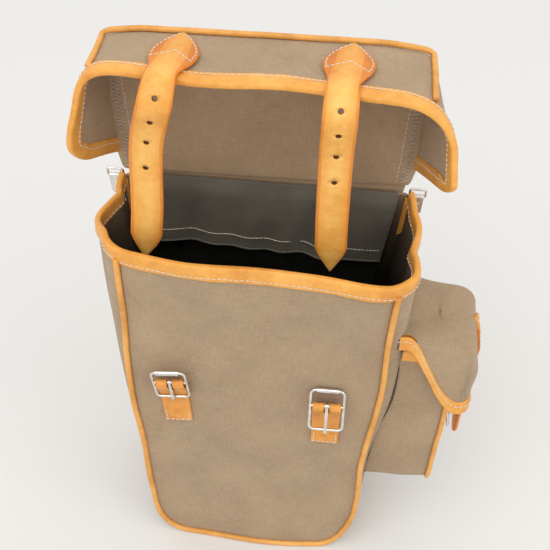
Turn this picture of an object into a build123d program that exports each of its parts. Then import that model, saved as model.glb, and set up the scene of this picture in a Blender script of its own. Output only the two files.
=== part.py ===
from build123d import *

import os
from math import cos, radians, sin

# Canvas and leather saddle bag that hangs on a bicycle's rack, in millimetres.
# Origin: centre of the base. +Z up, -Y to the outer (buckle) side, +X to the pocket side.
# The lid stands open at a right angle, as it does while the bag is being filled.

# ---------------------------------------------------------------- driving dimensions
RIM_Z = 338.0  # height of the mouth at the front panel
RIM_DIP_Z = 331.0  # height of the mouth half way along its sides
RIM_BACK_Z = 341.5  # height of the back panel
BACK_Y = 62.0  # outer face of the back panel
FRONT_BOTTOM_Y = -62.0  # outer face of the front panel at the base
FRONT_TOP_Y = -36.0  # the same at the mouth
HALF_TOP = (114.0, 117.5, 107.5)  # half widths at the mouth: back, middle, front
HALF_BOTTOM = (86.0, 91.0, 87.0)  # half widths at the base
CORNER_R = 24.0  # lower corners of the panels
WALL = 2.5  # canvas with its lining
BINDING = 1.5  # thickness of the leather folded over an edge
BINDING_H = 12.5  # how far it reaches down each side of the edge
PIPING_R = 2.6
BASE_H = 30.0  # height of the part of the side strip that belongs to the base
BOARD = 2.5  # stiffener inside the back
OPEN_Z = 370.0  # well above the mouth, for the forms that cut it open

HINGE_Y = BACK_Y - WALL / 2
HINGE_Z = 344.0
LID_GAP = 2.5  # from the hinge line to the lid's own canvas
LID_DEPTH = 130.0  # hinge line to the outer face of the front skirt
SKIRT = 62.0  # depth of the skirt
LID_HALF = (116.5, 121.0, 123.5)  # half widths of the lid's top: hinge, shoulder, front
FLARE_HALF = (128.0, 136.0, 128.0)  # the same at the skirt's free edge
SHOULDER = (20.0, 52.0)  # distance of the shoulder from the hinge, at the top and the free edge
LID_CORNER = (5.0, 20.0)  # corner radius at the top and at the free edge

STRAP_W = 25.0
STRAP_T = 3.0
STRAP_X = 60.5
STRAP_LEAN = (8.4, 1.0)  # degrees that the hanging straps lean to the left: left and right one
STRAP_GAP = 2.5  # from the skirt's free edge to the strap's bend
STRAP_BEND = 3.25  # inside radius of the bend, round the edge and its binding
STRAP_FREE = 163.0
HOLE_R = 2.2
HOLE_FIRST = 15.0
HOLE_PITCH = 25.0
HOLE_COUNT = 4

BUCKLE_X = (-67.0, 64.0)  # the left one's and the right one's
BUCKLE_Z = (215.0, 202.0)
BUCKLE_TURN = 5.0  # degrees that the left one leans to the left
LEATHER = 1.6  # one layer of a buckle tab

POCKET_BACK_Y = 42.0
POCKET_SET_BACK = 12.0  # pocket's front face behind the bag's front face
POCKET_BOTTOM = 88.0
POCKET_TOP = 252.0
POCKET_FACE_X = 156.0  # outer face of the pocket, taken down to the base's level
POCKET_FLARE = 0.045  # how much it leans out for each millimetre of height
FLAP_X = 180.0
FLAP_TOP = 268.5
FLAP_HINGE_X = 116.5
FLAP_MARGIN = 8.0  # flap's skirt outside the pocket's faces
FLAP_EDGE = ((110.0, 264.0), (185.0, 200.8))  # line of the flap's free edge, as x and z
POCKET_PIPING_R = 2.2
POCKET_STRAP_Y = 4.0
POCKET_STRAP_FREE = 92.0
POCKET_BUCKLE_Z = 150.0

RAIL_R = 5.2  # inside of the rack hooks, for a 10 mm rail
HOOK_X = 75.0
HOOK_W = 16.0
HOOK_T = 3.0
RAIL_Z = 316.0

RING_Y = 60.0
RING_Z = 338.5  # pivot of the shoulder ring
RING_X = (119.0, 129.0)  # sides of the clip that holds it
RING_H = 7.0
RING_WIRE_R = 1.1
RING_TAB = 2.6  # leather ear
RING_PLATE = 0.9

RUNNING = 0.08  # radial clearance of everything that turns on a wire


# ---------------------------------------------------------------- helpers
def block(x0, x1, y0, y1, z0, z1):
    """A box between two corners."""
    box = Box(x1 - x0, y1 - y0, z1 - z0)
    return Pos((x0 + x1) / 2, (y0 + y1) / 2, (z0 + z1) / 2) * box


def side_prism(points, half=250.0):
    """A prism along X from an outline in Y and Z."""
    return extrude(Plane.YZ * make_face(Polyline(*points, close=True)), half, both=True)


def front_prism(points, y0, y1):
    """A prism along Y from an outline in X and Z."""
    face = Plane.XZ.offset(-y1) * make_face(Polyline(*points, close=True))
    return extrude(face, y1 - y0)


def rounded_face(points, radii):
    return make_face(FilletPolyline(*points, radius=radii, close=True))


def cylinder_x(radius, x0, x1, y, z):
    return Pos((x0 + x1) / 2, y, z) * Rot(0, 90, 0) * Cylinder(radius, x1 - x0)


def cylinder_y(radius, y0, y1, x, z):
    return Pos(x, (y0 + y1) / 2, z) * Rot(90, 0, 0) * Cylinder(radius, y1 - y0)


def front_y(z):
    """Outer face of the front panel at a height."""
    return FRONT_BOTTOM_Y + (FRONT_TOP_Y - FRONT_BOTTOM_Y) * z / RIM_Z


def solid(shape):
    """The largest solid of a boolean's result, without the slivers it may leave."""
    return max(shape.solids(), key=lambda piece: piece.volume)


def mirrored(shape):
    return mirror(shape, about=Plane.YZ)


# ---------------------------------------------------------------- main compartment
def body_section(station, inset, top):
    """Outline of the bag at station 0 (back), 1 (middle) or 2 (front), pulled in by inset."""
    share = station / 2
    low_y = BACK_Y - inset + (FRONT_BOTTOM_Y - BACK_Y + 2 * inset) * share
    high_y = BACK_Y - inset + (FRONT_TOP_Y - BACK_Y + 2 * inset) * share
    up = Vector(0, high_y - low_y, RIM_Z).normalized()
    plane = Plane(origin=(0, low_y, 0), x_dir=(1, 0, 0), z_dir=Vector(1, 0, 0).cross(up))
    low, high = HALF_BOTTOM[station] - inset, HALF_TOP[station] - inset
    top_half = low + (high - low) * top / RIM_Z
    floor = inset if inset > 0 else -1.0  # the outside is trimmed to a flat base afterwards
    points = [(-low, floor), (low, floor), (top_half, top), (-top_half, top)]
    radius = CORNER_R - inset
    return plane * rounded_face(points, [radius, radius, 0, 0])


def body_form(inset, top=OPEN_Z):
    return loft([body_section(station, inset, top) for station in (0, 1, 2)])


def below_rim(rise):
    """Everything below the mouth's edge, which dips along the sides, raised by rise."""
    far, deep = 150.0, -80.0
    middle_y = (BACK_Y + FRONT_TOP_Y) / 2
    back, dip, front = RIM_BACK_Z + rise, RIM_DIP_Z + rise, RIM_Z + rise
    edge = Polyline((-far, front), (-far, deep), (far, deep), (far, back), (BACK_Y, back))
    edge += ThreePointArc((BACK_Y, back), (middle_y, dip), (FRONT_TOP_Y, front))
    edge += Line((FRONT_TOP_Y, front), (-far, front))
    return extrude(Plane.YZ * make_face(edge), 250.0, both=True)


def in_front_of(set_back):
    """Everything in front of a plane parallel to the front panel, set_back behind its outer face."""
    low, high, far = -40.0, 420.0, -250.0
    return side_prism(
        [(front_y(low) + set_back, low), (front_y(high) + set_back, high), (far, high), (far, low)]
    )


def compartment():
    """Front, back, sides and base, cut from one hollow form so that their edges meet."""
    above_base = block(-200, 200, -200, 200, 0, 500)
    walls = (OUTER - body_form(WALL, OPEN_Z + 10)) & below_rim(0) & above_base
    front_zone = in_front_of(WALL)
    back_zone = block(-200, 200, BACK_Y - WALL, BACK_Y + 50, -20, 400)
    strip = walls - front_zone - back_zone
    upper = strip - block(-200, 200, -200, 200, -20, BASE_H)
    return {
        "front_panel": solid(walls & front_zone),
        "back_panel": solid(walls & back_zone),
        "base_panel": solid(strip & block(-200, 200, -200, 200, -20, BASE_H)),
        "left_side_panel": solid(upper & block(-200, 0, -200, 200, 0, 400)),
        "right_side_panel": solid(upper & block(0, 200, -200, 200, 0, 400)),
    }


def mouth_binding(walls):
    """Leather folded over the edge of the mouth, from one back corner round to the other."""
    band = body_form(-BINDING, OPEN_Z) - body_form(WALL + BINDING, OPEN_Z + 10)
    band &= below_rim(BINDING) - below_rim(-BINDING_H)
    band -= block(-200, 200, BACK_Y - 2 * WALL, BACK_Y + 50, 200, 400)
    for wall in walls:
        band -= wall
    return solid(band)


def front_piping():
    """Piping on the edge of the front panel, under the ends of the mouth's binding."""
    up = Vector(0, FRONT_TOP_Y - FRONT_BOTTOM_Y, RIM_Z).normalized()
    out = Vector(1, 0, 0).cross(up)
    origin = Vector(0, FRONT_BOTTOM_Y, 0) + out * (PIPING_R + 0.05)
    plane = Plane(origin=origin, x_dir=(1, 0, 0), z_dir=out)
    end = RIM_Z - BINDING_H - 3
    base = PIPING_R + 0.4
    low, high = HALF_BOTTOM[2] - 1, HALF_TOP[2] - 1
    end_half = low + (high - low) * end / RIM_Z
    points = [(-end_half, end), (-low, base), (low, base), (end_half, end)]
    path = plane * FilletPolyline(*points, radius=CORNER_R)
    return solid(sweep(Plane(path ^ 0) * Circle(PIPING_R), path=path))


def back_board():
    points = [(-78, 10), (78, 10), (103, 322), (-103, 322)]
    face = Plane.XZ.offset(-(BACK_Y - WALL)) * rounded_face(points, [20, 20, 8, 8])
    return extrude(face, BOARD)


def weather_flap():
    """Nylon sheet sewn inside the top of the back, hanging a short way down into the bag."""
    front, back, low = 53.0, 54.2, 262.0
    sheet = [(-99, low), (99, low), (106, RIM_BACK_Z - 0.5), (-106, RIM_BACK_Z - 0.5)]
    hem = block(-104, 104, back, BACK_Y - WALL, 327, RIM_BACK_Z - 0.5)
    return front_prism(sheet, front, back) + hem


# ---------------------------------------------------------------- shoulder rings and rack hooks
def ring_fittings(binding):
    """Right-hand leather ear, riveted clip, rivet and ring at the back corner of the mouth."""
    front, back = RING_Y - RING_TAB / 2, RING_Y + RING_TAB / 2
    low, high = RING_Z - 15.5, RING_Z - 2.5
    outline = [(100, 290), (114, 298), (RING_X[1] - 2, low), (RING_X[1], high), (100, high)]
    ear = front_prism(outline, front, back) - OUTER - binding
    outline = [(RING_X[0], low), (RING_X[1] - 1, low), (RING_X[1], RING_Z), (RING_X[0], RING_Z)]
    clip = front_prism(outline, front - RING_PLATE, front)
    clip += front_prism(outline, back, back + RING_PLATE)
    clip += cylinder_x(back + RING_PLATE - RING_Y, RING_X[0], RING_X[1], RING_Y, RING_Z)
    clip -= cylinder_x(RING_WIRE_R + RUNNING, 100, 150, RING_Y, RING_Z)
    clip -= block(100, 150, front, back, 290, RING_Z - 1.7)
    middle = (RING_X[0] + RING_X[1]) / 2
    shaft = cylinder_y(1.2, front - RING_PLATE, back + RING_PLATE, middle, RING_Z - 8)
    rivet = shaft
    for face in (front - RING_PLATE - 1, back + RING_PLATE):
        rivet += cylinder_y(2.6, face, face + 1, middle, RING_Z - 8)
    low_x, high_x, high_z = RING_X[0] - 1.4, RING_X[1] + 1.4, RING_Z + RING_H
    points = [(low_x, RING_Z), (high_x, RING_Z), (high_x, high_z), (low_x, high_z)]
    wire = Plane.XZ.offset(-RING_Y) * FilletPolyline(*points, radius=1.6, close=True)
    return {
        "ring_ear": solid(ear - shaft),
        "ring_clip": solid(clip - shaft),
        "ring_rivet": solid(rivet),
        "ring": solid(sweep(Plane(wire ^ 0) * Circle(RING_WIRE_R), path=wire)),
    }


def rack_hook():
    """Right-hand hook: a strip riveted to the back that bends over the rack's rail."""
    centre_y = BACK_Y + HOOK_T + RAIL_R
    inside, outside = RAIL_R, RAIL_R + HOOK_T
    bend = Pos(centre_y, RAIL_Z) * (Circle(outside) - Circle(inside))
    bend &= Pos(centre_y, RAIL_Z + 20) * Rectangle(60, 40)
    leg = Pos(BACK_Y + HOOK_T / 2, (RAIL_Z + 258) / 2) * Rectangle(HOOK_T, RAIL_Z - 258)
    tail = Pos(centre_y + (inside + outside) / 2, RAIL_Z - 6) * Rectangle(HOOK_T, 12)
    strip = extrude(Plane.YZ * (bend + leg + tail), HOOK_W / 2, both=True)
    return Pos(HOOK_X, 0, 0) * strip


def hook_rivets():
    """Four rivets through hook, back panel and board, with their shafts for the holes."""
    rivets, shafts = [], []
    inner, outer = BACK_Y - WALL - BOARD, BACK_Y + HOOK_T
    for x in (-HOOK_X, HOOK_X):
        for z in (270, 294):
            shaft = cylinder_y(2.2, inner, outer, x, z)
            heads = cylinder_y(4.5, inner - 1.4, inner, x, z) + cylinder_y(4.5, outer, outer + 1.4, x, z)
            rivets.append(solid(shaft + heads))
            shafts.append(shaft)
    return rivets, shafts


# ---------------------------------------------------------------- roller buckles
BAR_N = 9.0  # centre bar's height off the canvas
WIRE_R = 1.3
TOP_BAR = 14.0  # distances from the centre bar, in the frame's plane
BOTTOM_BAR = -21.0
FRAME_HALF = 13.9
TAB_HALF = 11.8
TAB_RISE = -18.0  # where the two layers part and rise to the bar
TAB_BEND = -43.0  # where the tab bends, above its stitched foot
TAB_END = -54.0
LEAN_IN = -24.0  # degrees from the canvas, with the roller resting on it
LEAN_OUT = 11.0  # the same with the lower bar resting on the tab
POCKET_LEAN = -12.0  # the pocket's frame, between the two
ROLLER_R = 2.3
ROLLER_HALF = 9.4


def buckle_plane(side, turn=0.0):
    """Plane on the front panel: local X across, Y up the panel, Z out from it."""
    x, z = BUCKLE_X[side], BUCKLE_Z[side]
    up = Vector(0, front_y(1) - front_y(0), 1).normalized()
    across = Vector(1, 0, 0) * cos(radians(turn)) + up * sin(radians(turn))
    return Plane(origin=(x, front_y(z), z), x_dir=across, z_dir=Vector(1, 0, 0).cross(up))


def pocket_plane():
    """Plane on the pocket's outer face: local X towards the back, Y up the face, Z out."""
    up = Vector(POCKET_FLARE, 0, 1).normalized()
    origin = (pocket_x(POCKET_BUCKLE_Z), POCKET_STRAP_Y, POCKET_BUCKLE_Z)
    return Plane(origin=origin, x_dir=(0, 1, 0), z_dir=Vector(0, 1, 0).cross(up))


def across(face, half):
    """Extrude a face drawn in local Y and Z to both sides along local X."""
    return extrude(Plane.YZ * face, half, both=True)


def tab_strap():
    """Leather folded round the centre bar, both layers running down to the stitched foot."""
    loop_r = WIRE_R + RUNNING + LEATHER
    bore = Pos(0, BAR_N) * Circle(WIRE_R + RUNNING)
    front = [(0, BAR_N + loop_r), (0, BAR_N + loop_r - LEATHER), (TAB_RISE, LEATHER)]
    front += [(TAB_BEND, LEATHER), (TAB_BEND, 2 * LEATHER), (TAB_RISE, 2 * LEATHER)]
    back = [(0, BAR_N - loop_r), (0, BAR_N - loop_r + LEATHER), (TAB_RISE, LEATHER)]
    back += [(TAB_BEND, LEATHER), (TAB_BEND, 0), (TAB_RISE, 0)]
    face = Pos(0, BAR_N) * Circle(loop_r)
    face += make_face(Polyline(*front, close=True)) + make_face(Polyline(*back, close=True))
    slot = block(-2.0, 2.0, -12, 5, LEATHER + 0.1, BAR_N + 6)
    return solid(across(face - bore, TAB_HALF) - slot)


def buckle_frame():
    """Bent wire frame with its centre bar, drawn parallel to the canvas."""
    plane = Plane.XY.offset(BAR_N)
    points = [(-FRAME_HALF, BOTTOM_BAR), (FRAME_HALF, BOTTOM_BAR)]
    points += [(FRAME_HALF, TOP_BAR), (-FRAME_HALF, TOP_BAR)]
    wire = plane * FilletPolyline(*points, radius=4.0, close=True)
    frame = sweep(Plane(wire ^ 0) * Circle(WIRE_R), path=wire)
    return solid(frame + cylinder_x(WIRE_R, -FRAME_HALF, FRAME_HALF, 0, BAR_N))


def buckle_roller():
    tube = cylinder_x(ROLLER_R, -ROLLER_HALF, ROLLER_HALF, TOP_BAR, BAR_N)
    return solid(tube - cylinder_x(WIRE_R + RUNNING, -20, 20, TOP_BAR, BAR_N))


def buckle_prong():
    """Prong hanging from the centre bar, its point resting on the lower bar."""
    inner, tip = WIRE_R + 0.2, BOTTOM_BAR - 2.5
    shank = [(-1.0, 0.8), (BOTTOM_BAR, inner), (tip, inner)]
    shank += [(tip, inner + 1.2), (BOTTOM_BAR, inner + 1.9), (-1.0, 2.4)]
    face = Circle(2.6) + make_face(Polyline(*shank, close=True)) - Circle(WIRE_R + RUNNING)
    return solid(across(Pos(0, BAR_N) * face, 1.2))


def buckle(name, plane, tilt=LEAN_IN):
    """One roller buckle on its leather tab, its frame tilted about its centre bar."""
    bar = Axis((0, 0, BAR_N), (1, 0, 0))
    foot = block(-TAB_HALF, TAB_HALF, TAB_END, TAB_BEND - 0.3, 0, 2 * LEATHER)
    parts = {f"{name}_tab_foot": plane * foot}
    parts[f"{name}_buckle_tab"] = plane * tab_strap()
    makers = {"frame": buckle_frame, "roller": buckle_roller, "prong": buckle_prong}
    for piece, make in makers.items():
        parts[f"{name}_buckle_{piece}"] = plane * make().rotate(bar, tilt)
    return parts


# ---------------------------------------------------------------- lid
def lid_section(v, inset, low_z):
    """Outline of the lid at depth v below its top, in X and Z, pulled in by inset."""
    share = v / SKIRT
    halves = [a + (b - a) * share - inset for a, b in zip(LID_HALF, FLARE_HALF)]
    shoulder = HINGE_Z + SHOULDER[0] + (SHOULDER[1] - SHOULDER[0]) * share
    far = HINGE_Z + LID_DEPTH - inset
    radius = max(LID_CORNER[0] + (LID_CORNER[1] - LID_CORNER[0]) * share - inset, 1.0)
    right = [(halves[0], low_z), (halves[1], shoulder), (halves[2], far)]
    left = [(-x, z) for x, z in reversed(right)]
    return Plane.XZ.offset(v - BACK_Y) * rounded_face(right + left, [0, 0, radius, radius, 0, 0])


def lid_form(inset, v0, v1, low_z):
    return loft([lid_section(v0, inset, low_z), lid_section(v1, inset, low_z)], ruled=True)


def lid_edge(shift, v0, v1):
    """Ends of the slanting rear edge of the side skirts, shifted along the lid, as y and z."""
    slope = (SHOULDER[1] - SHOULDER[0]) / (SKIRT - WALL)
    return [(BACK_Y - v, HINGE_Z + SHOULDER[0] + shift + slope * (v - WALL)) for v in (v0, v1)]


def lid_panels():
    low = HINGE_Z + LID_GAP
    form = lid_form(0, 0, SKIRT, low)
    top_zone = block(-200, 200, BACK_Y - WALL, BACK_Y + 20, 300, 500)
    skirt = form - lid_form(WALL, 0, SKIRT, low - 20) - top_zone
    rear = lid_edge(0, 0, SKIRT + 10)
    skirt -= side_prism(rear + [(rear[1][0], 320), (rear[0][0], 320)])
    seam = LID_HALF[2] - 5
    front_zone = block(-seam, seam, -50, 100, HINGE_Z + 100, 500)
    sides = skirt - front_zone
    return form, {
        "lid_top": solid(form & top_zone),
        "lid_front_skirt": solid(skirt & front_zone),
        "lid_left_skirt": solid(sides & block(-200, 0, -100, 100, 300, 500)),
        "lid_right_skirt": solid(sides & block(0, 200, -100, 100, 300, 500)),
    }


def lid_binding(panels):
    """Leather folded over the free edge of the skirt, up its slanting ends to the lid's top."""
    low = HINGE_Z + LID_GAP - 10
    band = lid_form(-BINDING, 0, SKIRT + BINDING, low)
    band -= lid_form(WALL + BINDING, -5, SKIRT + 15, low - 20)
    outer = lid_edge(-1.7, WALL, SKIRT + BINDING)
    inner = lid_edge(14.0, WALL, SKIRT - BINDING_H)
    far = HINGE_Z + LID_DEPTH + 10
    zone = outer + [(outer[1][0], far), (inner[1][0], far), inner[1], inner[0]]
    band &= side_prism(zone)
    for panel in panels:
        band -= panel
    return solid(band)


def lid_piping(form):
    """Piping round the front skirt: up one corner, along the top seam and down the other."""
    z = HINGE_Z + LID_DEPTH - 1.5
    end = SKIRT - BINDING_H - 1
    half = LID_HALF[2] - 1.5
    end_half = half + (FLARE_HALF[2] - LID_HALF[2]) * end / SKIRT
    seam_y, end_y = BACK_Y - 1.5, BACK_Y - end
    points = [(-end_half, end_y), (-half, seam_y), (half, seam_y), (end_half, end_y)]
    path = Plane.XY.offset(z) * FilletPolyline(*points, radius=6.0)
    tube = sweep(Plane(path ^ 0) * Circle(2.4), path=path)
    return solid(tube - form)


def leaf(length, end_half):
    """Pointed, waisted outline of a strap's sewn end, from its tip at 0 to its end."""
    wide = end_half + 5
    half = [(0, 0), (wide * 0.6, 7), (wide, 17), (wide, 25), (end_half, 38), (end_half, length)]
    return half + [(-x, v) for x, v in reversed(half[1:])]


def strap_anchor(x, binding):
    """Sewn end of a closing strap on the outside of the front skirt."""
    start, end = 4.0, SKIRT + STRAP_GAP
    points = [(x + u, BACK_Y - start - v) for u, v in leaf(end - start, STRAP_W / 2)]
    top = HINGE_Z + LID_DEPTH
    plate = extrude(Plane.XY.offset(top) * make_face(Polyline(*points, close=True)), STRAP_T)
    return solid(plate - binding)


def strap_outline(x, top, length):
    """Strap hanging from top, with its point at the bottom, as x and z."""
    half = STRAP_W / 2
    low = top - length
    points = [(x - half, top), (x - half, low + 16), (x - 5, low + 3), (x + 5, low + 3)]
    return points + [(x + half, low + 16), (x + half, top)]


def strap_holes(top):
    return [top - HOLE_FIRST - HOLE_PITCH * i for i in range(HOLE_COUNT)]


def closing_strap(x, lean):
    """Free length of a closing strap, hanging from the skirt's edge and leaning to the left."""
    top = HINGE_Z + LID_DEPTH - WALL / 2
    back = BACK_Y - SKIRT - STRAP_GAP - STRAP_BEND
    strap = front_prism(strap_outline(x, top, STRAP_FREE), back - STRAP_T, back)
    for z in strap_holes(top):
        strap -= cylinder_y(HOLE_R, back - 10, back + 10, x, z)
    return solid(strap).rotate(Axis((x, back, top), (0, 1, 0)), lean)


# ---------------------------------------------------------------- side pocket
def pocket_x(z):
    return POCKET_FACE_X + POCKET_FLARE * z


def pocket_form(inset, top):
    low = POCKET_BOTTOM + inset
    points = [(60, low), (pocket_x(low) - inset, low), (pocket_x(top) - inset, top), (60, top)]
    face = Plane.XZ.offset(-(POCKET_BACK_Y - inset)) * rounded_face(points, [0, 10 - inset, 0, 0])
    return extrude(face, 150) - in_front_of(POCKET_SET_BACK + inset)


def pocket_panels():
    walls = pocket_form(0, POCKET_TOP) - OUTER - pocket_form(WALL, POCKET_TOP + 20)
    face_line = [(pocket_x(z) - WALL, z) for z in (60, 290)]
    face_zone = front_prism(face_line + [(230, 290), (230, 60)], -150, 150)
    return {
        "pocket_face": solid(walls & face_zone),
        "pocket_side_strip": solid(walls - face_zone),
    }


def pocket_binding(panels):
    """Leather folded over the pocket's mouth."""
    band = pocket_form(-BINDING, POCKET_TOP + BINDING)
    band -= pocket_form(WALL + BINDING, POCKET_TOP + 20)
    band &= block(50, 220, -100, 100, POCKET_TOP - 11, POCKET_TOP + BINDING)
    band -= OUTER
    for panel in panels:
        band -= panel
    return solid(band)


def pocket_piping():
    """Piping round the pocket's outer face, under its binding."""
    up = Vector(POCKET_FLARE, 0, 1)
    plane = Plane(origin=(POCKET_FACE_X, 0, 0), x_dir=(0, 1, 0), z_dir=Vector(0, 1, 0).cross(up))
    end, low = POCKET_TOP - 12, POCKET_BOTTOM + 1
    points = [(front_y(end) + POCKET_SET_BACK, end), (front_y(low) + POCKET_SET_BACK, low)]
    points += [(POCKET_BACK_Y, low), (POCKET_BACK_Y, end)]
    path = plane * FilletPolyline(*points, radius=9.0)
    tube = sweep(Plane(path ^ 0) * Circle(POCKET_PIPING_R), path=path)
    return solid(tube - pocket_form(0, POCKET_TOP + 10))


def flap_form(inset, inner_x, low):
    far, top = FLAP_X - inset, FLAP_TOP - inset
    points = [(inner_x, low), (far, low), (far, top), (inner_x, top)]
    back = POCKET_BACK_Y + FLAP_MARGIN - inset
    face = Plane.XZ.offset(-back) * rounded_face(points, [0, 0, 8 - inset, 0])
    return extrude(face, 180) - in_front_of(POCKET_SET_BACK - FLAP_MARGIN + inset)


def above_flap_edge(shift):
    """Everything above the flap's slanting free edge, raised by shift."""
    line = [(x, z + shift) for x, z in FLAP_EDGE]
    return front_prism(line + [(FLAP_EDGE[1][0], 320), (FLAP_EDGE[0][0], 320)], -150, 150)


def pocket_flap():
    """Box-shaped flap: a top and three sides, hinged along the bag's side."""
    shell = flap_form(0, FLAP_HINGE_X, 150) - flap_form(WALL, 100, 140)
    flap = solid(shell & above_flap_edge(0))
    band = flap_form(-BINDING, FLAP_HINGE_X, 150) - flap_form(WALL + BINDING, 100, 140)
    band &= above_flap_edge(-2) - above_flap_edge(14)
    band -= block(50, 220, -150, 150, FLAP_TOP - WALL - BINDING, FLAP_TOP + 20)
    return {"pocket_flap": flap, "pocket_flap_binding": solid(band - flap)}


def flap_low_z():
    """Lowest point of the flap's binding, on its outer side."""
    (x0, z0), (x1, z1) = FLAP_EDGE
    return z0 + (FLAP_X + BINDING - x0) * (z1 - z0) / (x1 - x0) - 2


def pocket_strap(binding):
    """Sewn end on the flap, and the free length that hangs from it."""
    bend = flap_low_z() - 1.3
    start = FLAP_TOP - 5
    plane = Plane(origin=(FLAP_X, POCKET_STRAP_Y, start), x_dir=(0, 1, 0), z_dir=(1, 0, 0))
    points = [(u, -v) for u, v in leaf(start - bend - 0.3, STRAP_W / 2)]
    sewn = extrude(plane * make_face(Polyline(*points, close=True)), STRAP_T)
    outline = strap_outline(POCKET_STRAP_Y, bend, POCKET_STRAP_FREE)
    inner = FLAP_X - WALL / 2 + STRAP_BEND
    free = extrude(Plane.YZ.offset(inner) * make_face(Polyline(*outline, close=True)), STRAP_T)
    for z in strap_holes(bend)[1:3]:
        free -= cylinder_x(HOLE_R, inner - 5, inner + 10, POCKET_STRAP_Y, z)
    return {"pocket_strap_anchor": solid(sewn - binding), "pocket_strap": solid(free)}


# ---------------------------------------------------------------- the whole bag
OUTER = body_form(0)


def build():
    parts = compartment()
    walls = list(parts.values())
    parts["mouth_binding"] = mouth_binding(walls)
    parts["front_piping"] = front_piping()
    parts["back_board"] = back_board()
    parts["weather_flap"] = weather_flap()

    fittings = ring_fittings(parts["mouth_binding"])
    rivet = fittings.pop("ring_rivet")
    parts["ring_rivets"] = Compound(children=[rivet, mirrored(rivet)])
    for name, shape in fittings.items():
        parts[f"right_{name}"] = shape
        parts[f"left_{name}"] = mirrored(shape)

    rivets, shafts = hook_rivets()
    parts["right_hook"] = rack_hook()
    parts["left_hook"] = mirrored(parts["right_hook"])
    for shaft in shafts:
        for name in ("right_hook", "left_hook", "back_panel", "back_board"):
            parts[name] = parts[name] - shaft
    parts["hook_rivets"] = Compound(children=rivets)

    parts |= buckle("left", buckle_plane(0, BUCKLE_TURN), LEAN_OUT)
    parts |= buckle("right", buckle_plane(1))
    parts |= buckle("pocket", pocket_plane(), POCKET_LEAN)

    form, panels = lid_panels()
    parts |= panels
    binding = lid_binding(panels.values())
    parts["lid_binding"] = binding
    parts["lid_piping"] = lid_piping(form)
    for side, x, lean in (("left", -STRAP_X, STRAP_LEAN[0]), ("right", STRAP_X, STRAP_LEAN[1])):
        parts[f"{side}_strap_anchor"] = strap_anchor(x, binding)
        parts[f"{side}_strap"] = closing_strap(x, lean)

    pocket = pocket_panels()
    parts |= pocket
    parts["pocket_binding"] = pocket_binding(pocket.values())
    parts["pocket_piping"] = pocket_piping()
    flap = pocket_flap()
    parts |= flap
    parts |= pocket_strap(flap["pocket_flap_binding"])
    return parts


def main():
    os.makedirs("parts", exist_ok=True)
    for name, shape in build().items():
        export_step(shape, f"parts/{name}.step")


main()
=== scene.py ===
import math

import bmesh
import bpy
from mathutils import Matrix, Vector, noise


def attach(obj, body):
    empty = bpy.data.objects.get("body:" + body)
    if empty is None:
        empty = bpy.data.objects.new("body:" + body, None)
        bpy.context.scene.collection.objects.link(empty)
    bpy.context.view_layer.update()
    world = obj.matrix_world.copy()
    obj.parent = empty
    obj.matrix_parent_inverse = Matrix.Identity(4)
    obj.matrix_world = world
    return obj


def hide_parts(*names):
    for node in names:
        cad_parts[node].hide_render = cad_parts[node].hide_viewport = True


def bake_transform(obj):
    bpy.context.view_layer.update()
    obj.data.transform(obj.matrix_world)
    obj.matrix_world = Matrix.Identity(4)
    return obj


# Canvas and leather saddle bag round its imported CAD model. Lengths are in millimetres.
# +Z up, -Y to the buckle side, +X to the pocket side, origin in the middle of the base.

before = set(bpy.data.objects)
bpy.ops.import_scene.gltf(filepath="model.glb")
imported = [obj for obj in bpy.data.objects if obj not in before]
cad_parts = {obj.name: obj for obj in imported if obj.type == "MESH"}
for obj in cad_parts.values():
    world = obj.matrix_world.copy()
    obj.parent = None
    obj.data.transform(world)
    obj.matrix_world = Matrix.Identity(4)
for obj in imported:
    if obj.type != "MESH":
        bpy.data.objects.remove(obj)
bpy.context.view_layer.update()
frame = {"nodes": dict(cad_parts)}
MM = 0.001

# ---------------------------------------------------------------- sizes shared with the CAD model
HEIGHT = 338.0  # straight height that the walls' slopes are measured over
RIM = (341.5, 331.0, 338.0)  # heights of the mouth: back, middle, front
BACK_Y = 62.0
FRONT_Y = (-62.0, -36.0)  # front panel's face at the base and at the mouth
# half widths at the back, middle and front
HALF_TOP = (114.0, 117.5, 107.5)
HALF_LOW = (86.0, 91.0, 87.0)
CORNER_R = 24.0
WALL = 2.5
BINDING_H = 12.5
STITCH_DEPTH, STITCH_LIFT = BINDING_H - 4.0, 1.75  # stitches from an edge, and off its sheet
HINGE_Y, HINGE_Z = 60.75, 344.0
LID_DEPTH, SKIRT = 130.0, 62.0
LID_HALF = (116.5, 121.0, 123.5)  # lid's top: at the hinge, the shoulder and the far edge
FLARE_HALF = (128.0, 136.0, 128.0)  # skirt's free edge, at the same places
SHOULDER = (20.0, 52.0)  # shoulder's distance from the hinge, on the top and on the free edge
STRAP_T, STRAP_HALF = 3.0, 12.3
BUCKLE_X, BUCKLE_Z, BUCKLE_TURN = (-67.0, 64.0), (215.0, 202.0), 5.0
BAR_N, TAB_HALF, TAB_RISE, TAB_BEND, TAB_END = 9.0, 11.8, -18.0, -43.0, -54.0
LOOP_R = 2.2
POCKET_BACK_Y, POCKET_SET_BACK = 35.0, 12.0
POCKET_Z = (88.0, 252.0)
POCKET_FACE_X, POCKET_FLARE = 156.0, 0.045
FLAP_X, FLAP_TOP, FLAP_MARGIN = 181.5, 268.5, 8.0
POCKET_STRAP_Y, POCKET_BUCKLE_Z = 4.0, 150.0
CENTRE = Vector((0, 5, 180))
RIGHT_ANGLE = math.radians(90)
THREAD_WIDTH = 0.0011  # of the canvas, in metres


# ---------------------------------------------------------------- numbers and curves
def mix(a, b, t):
    return a + (b - a) * t


def smooth(low, high, x):
    t = min(max((x - low) / (high - low), 0.0), 1.0)
    return t * t * (3 - 2 * t)


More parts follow.
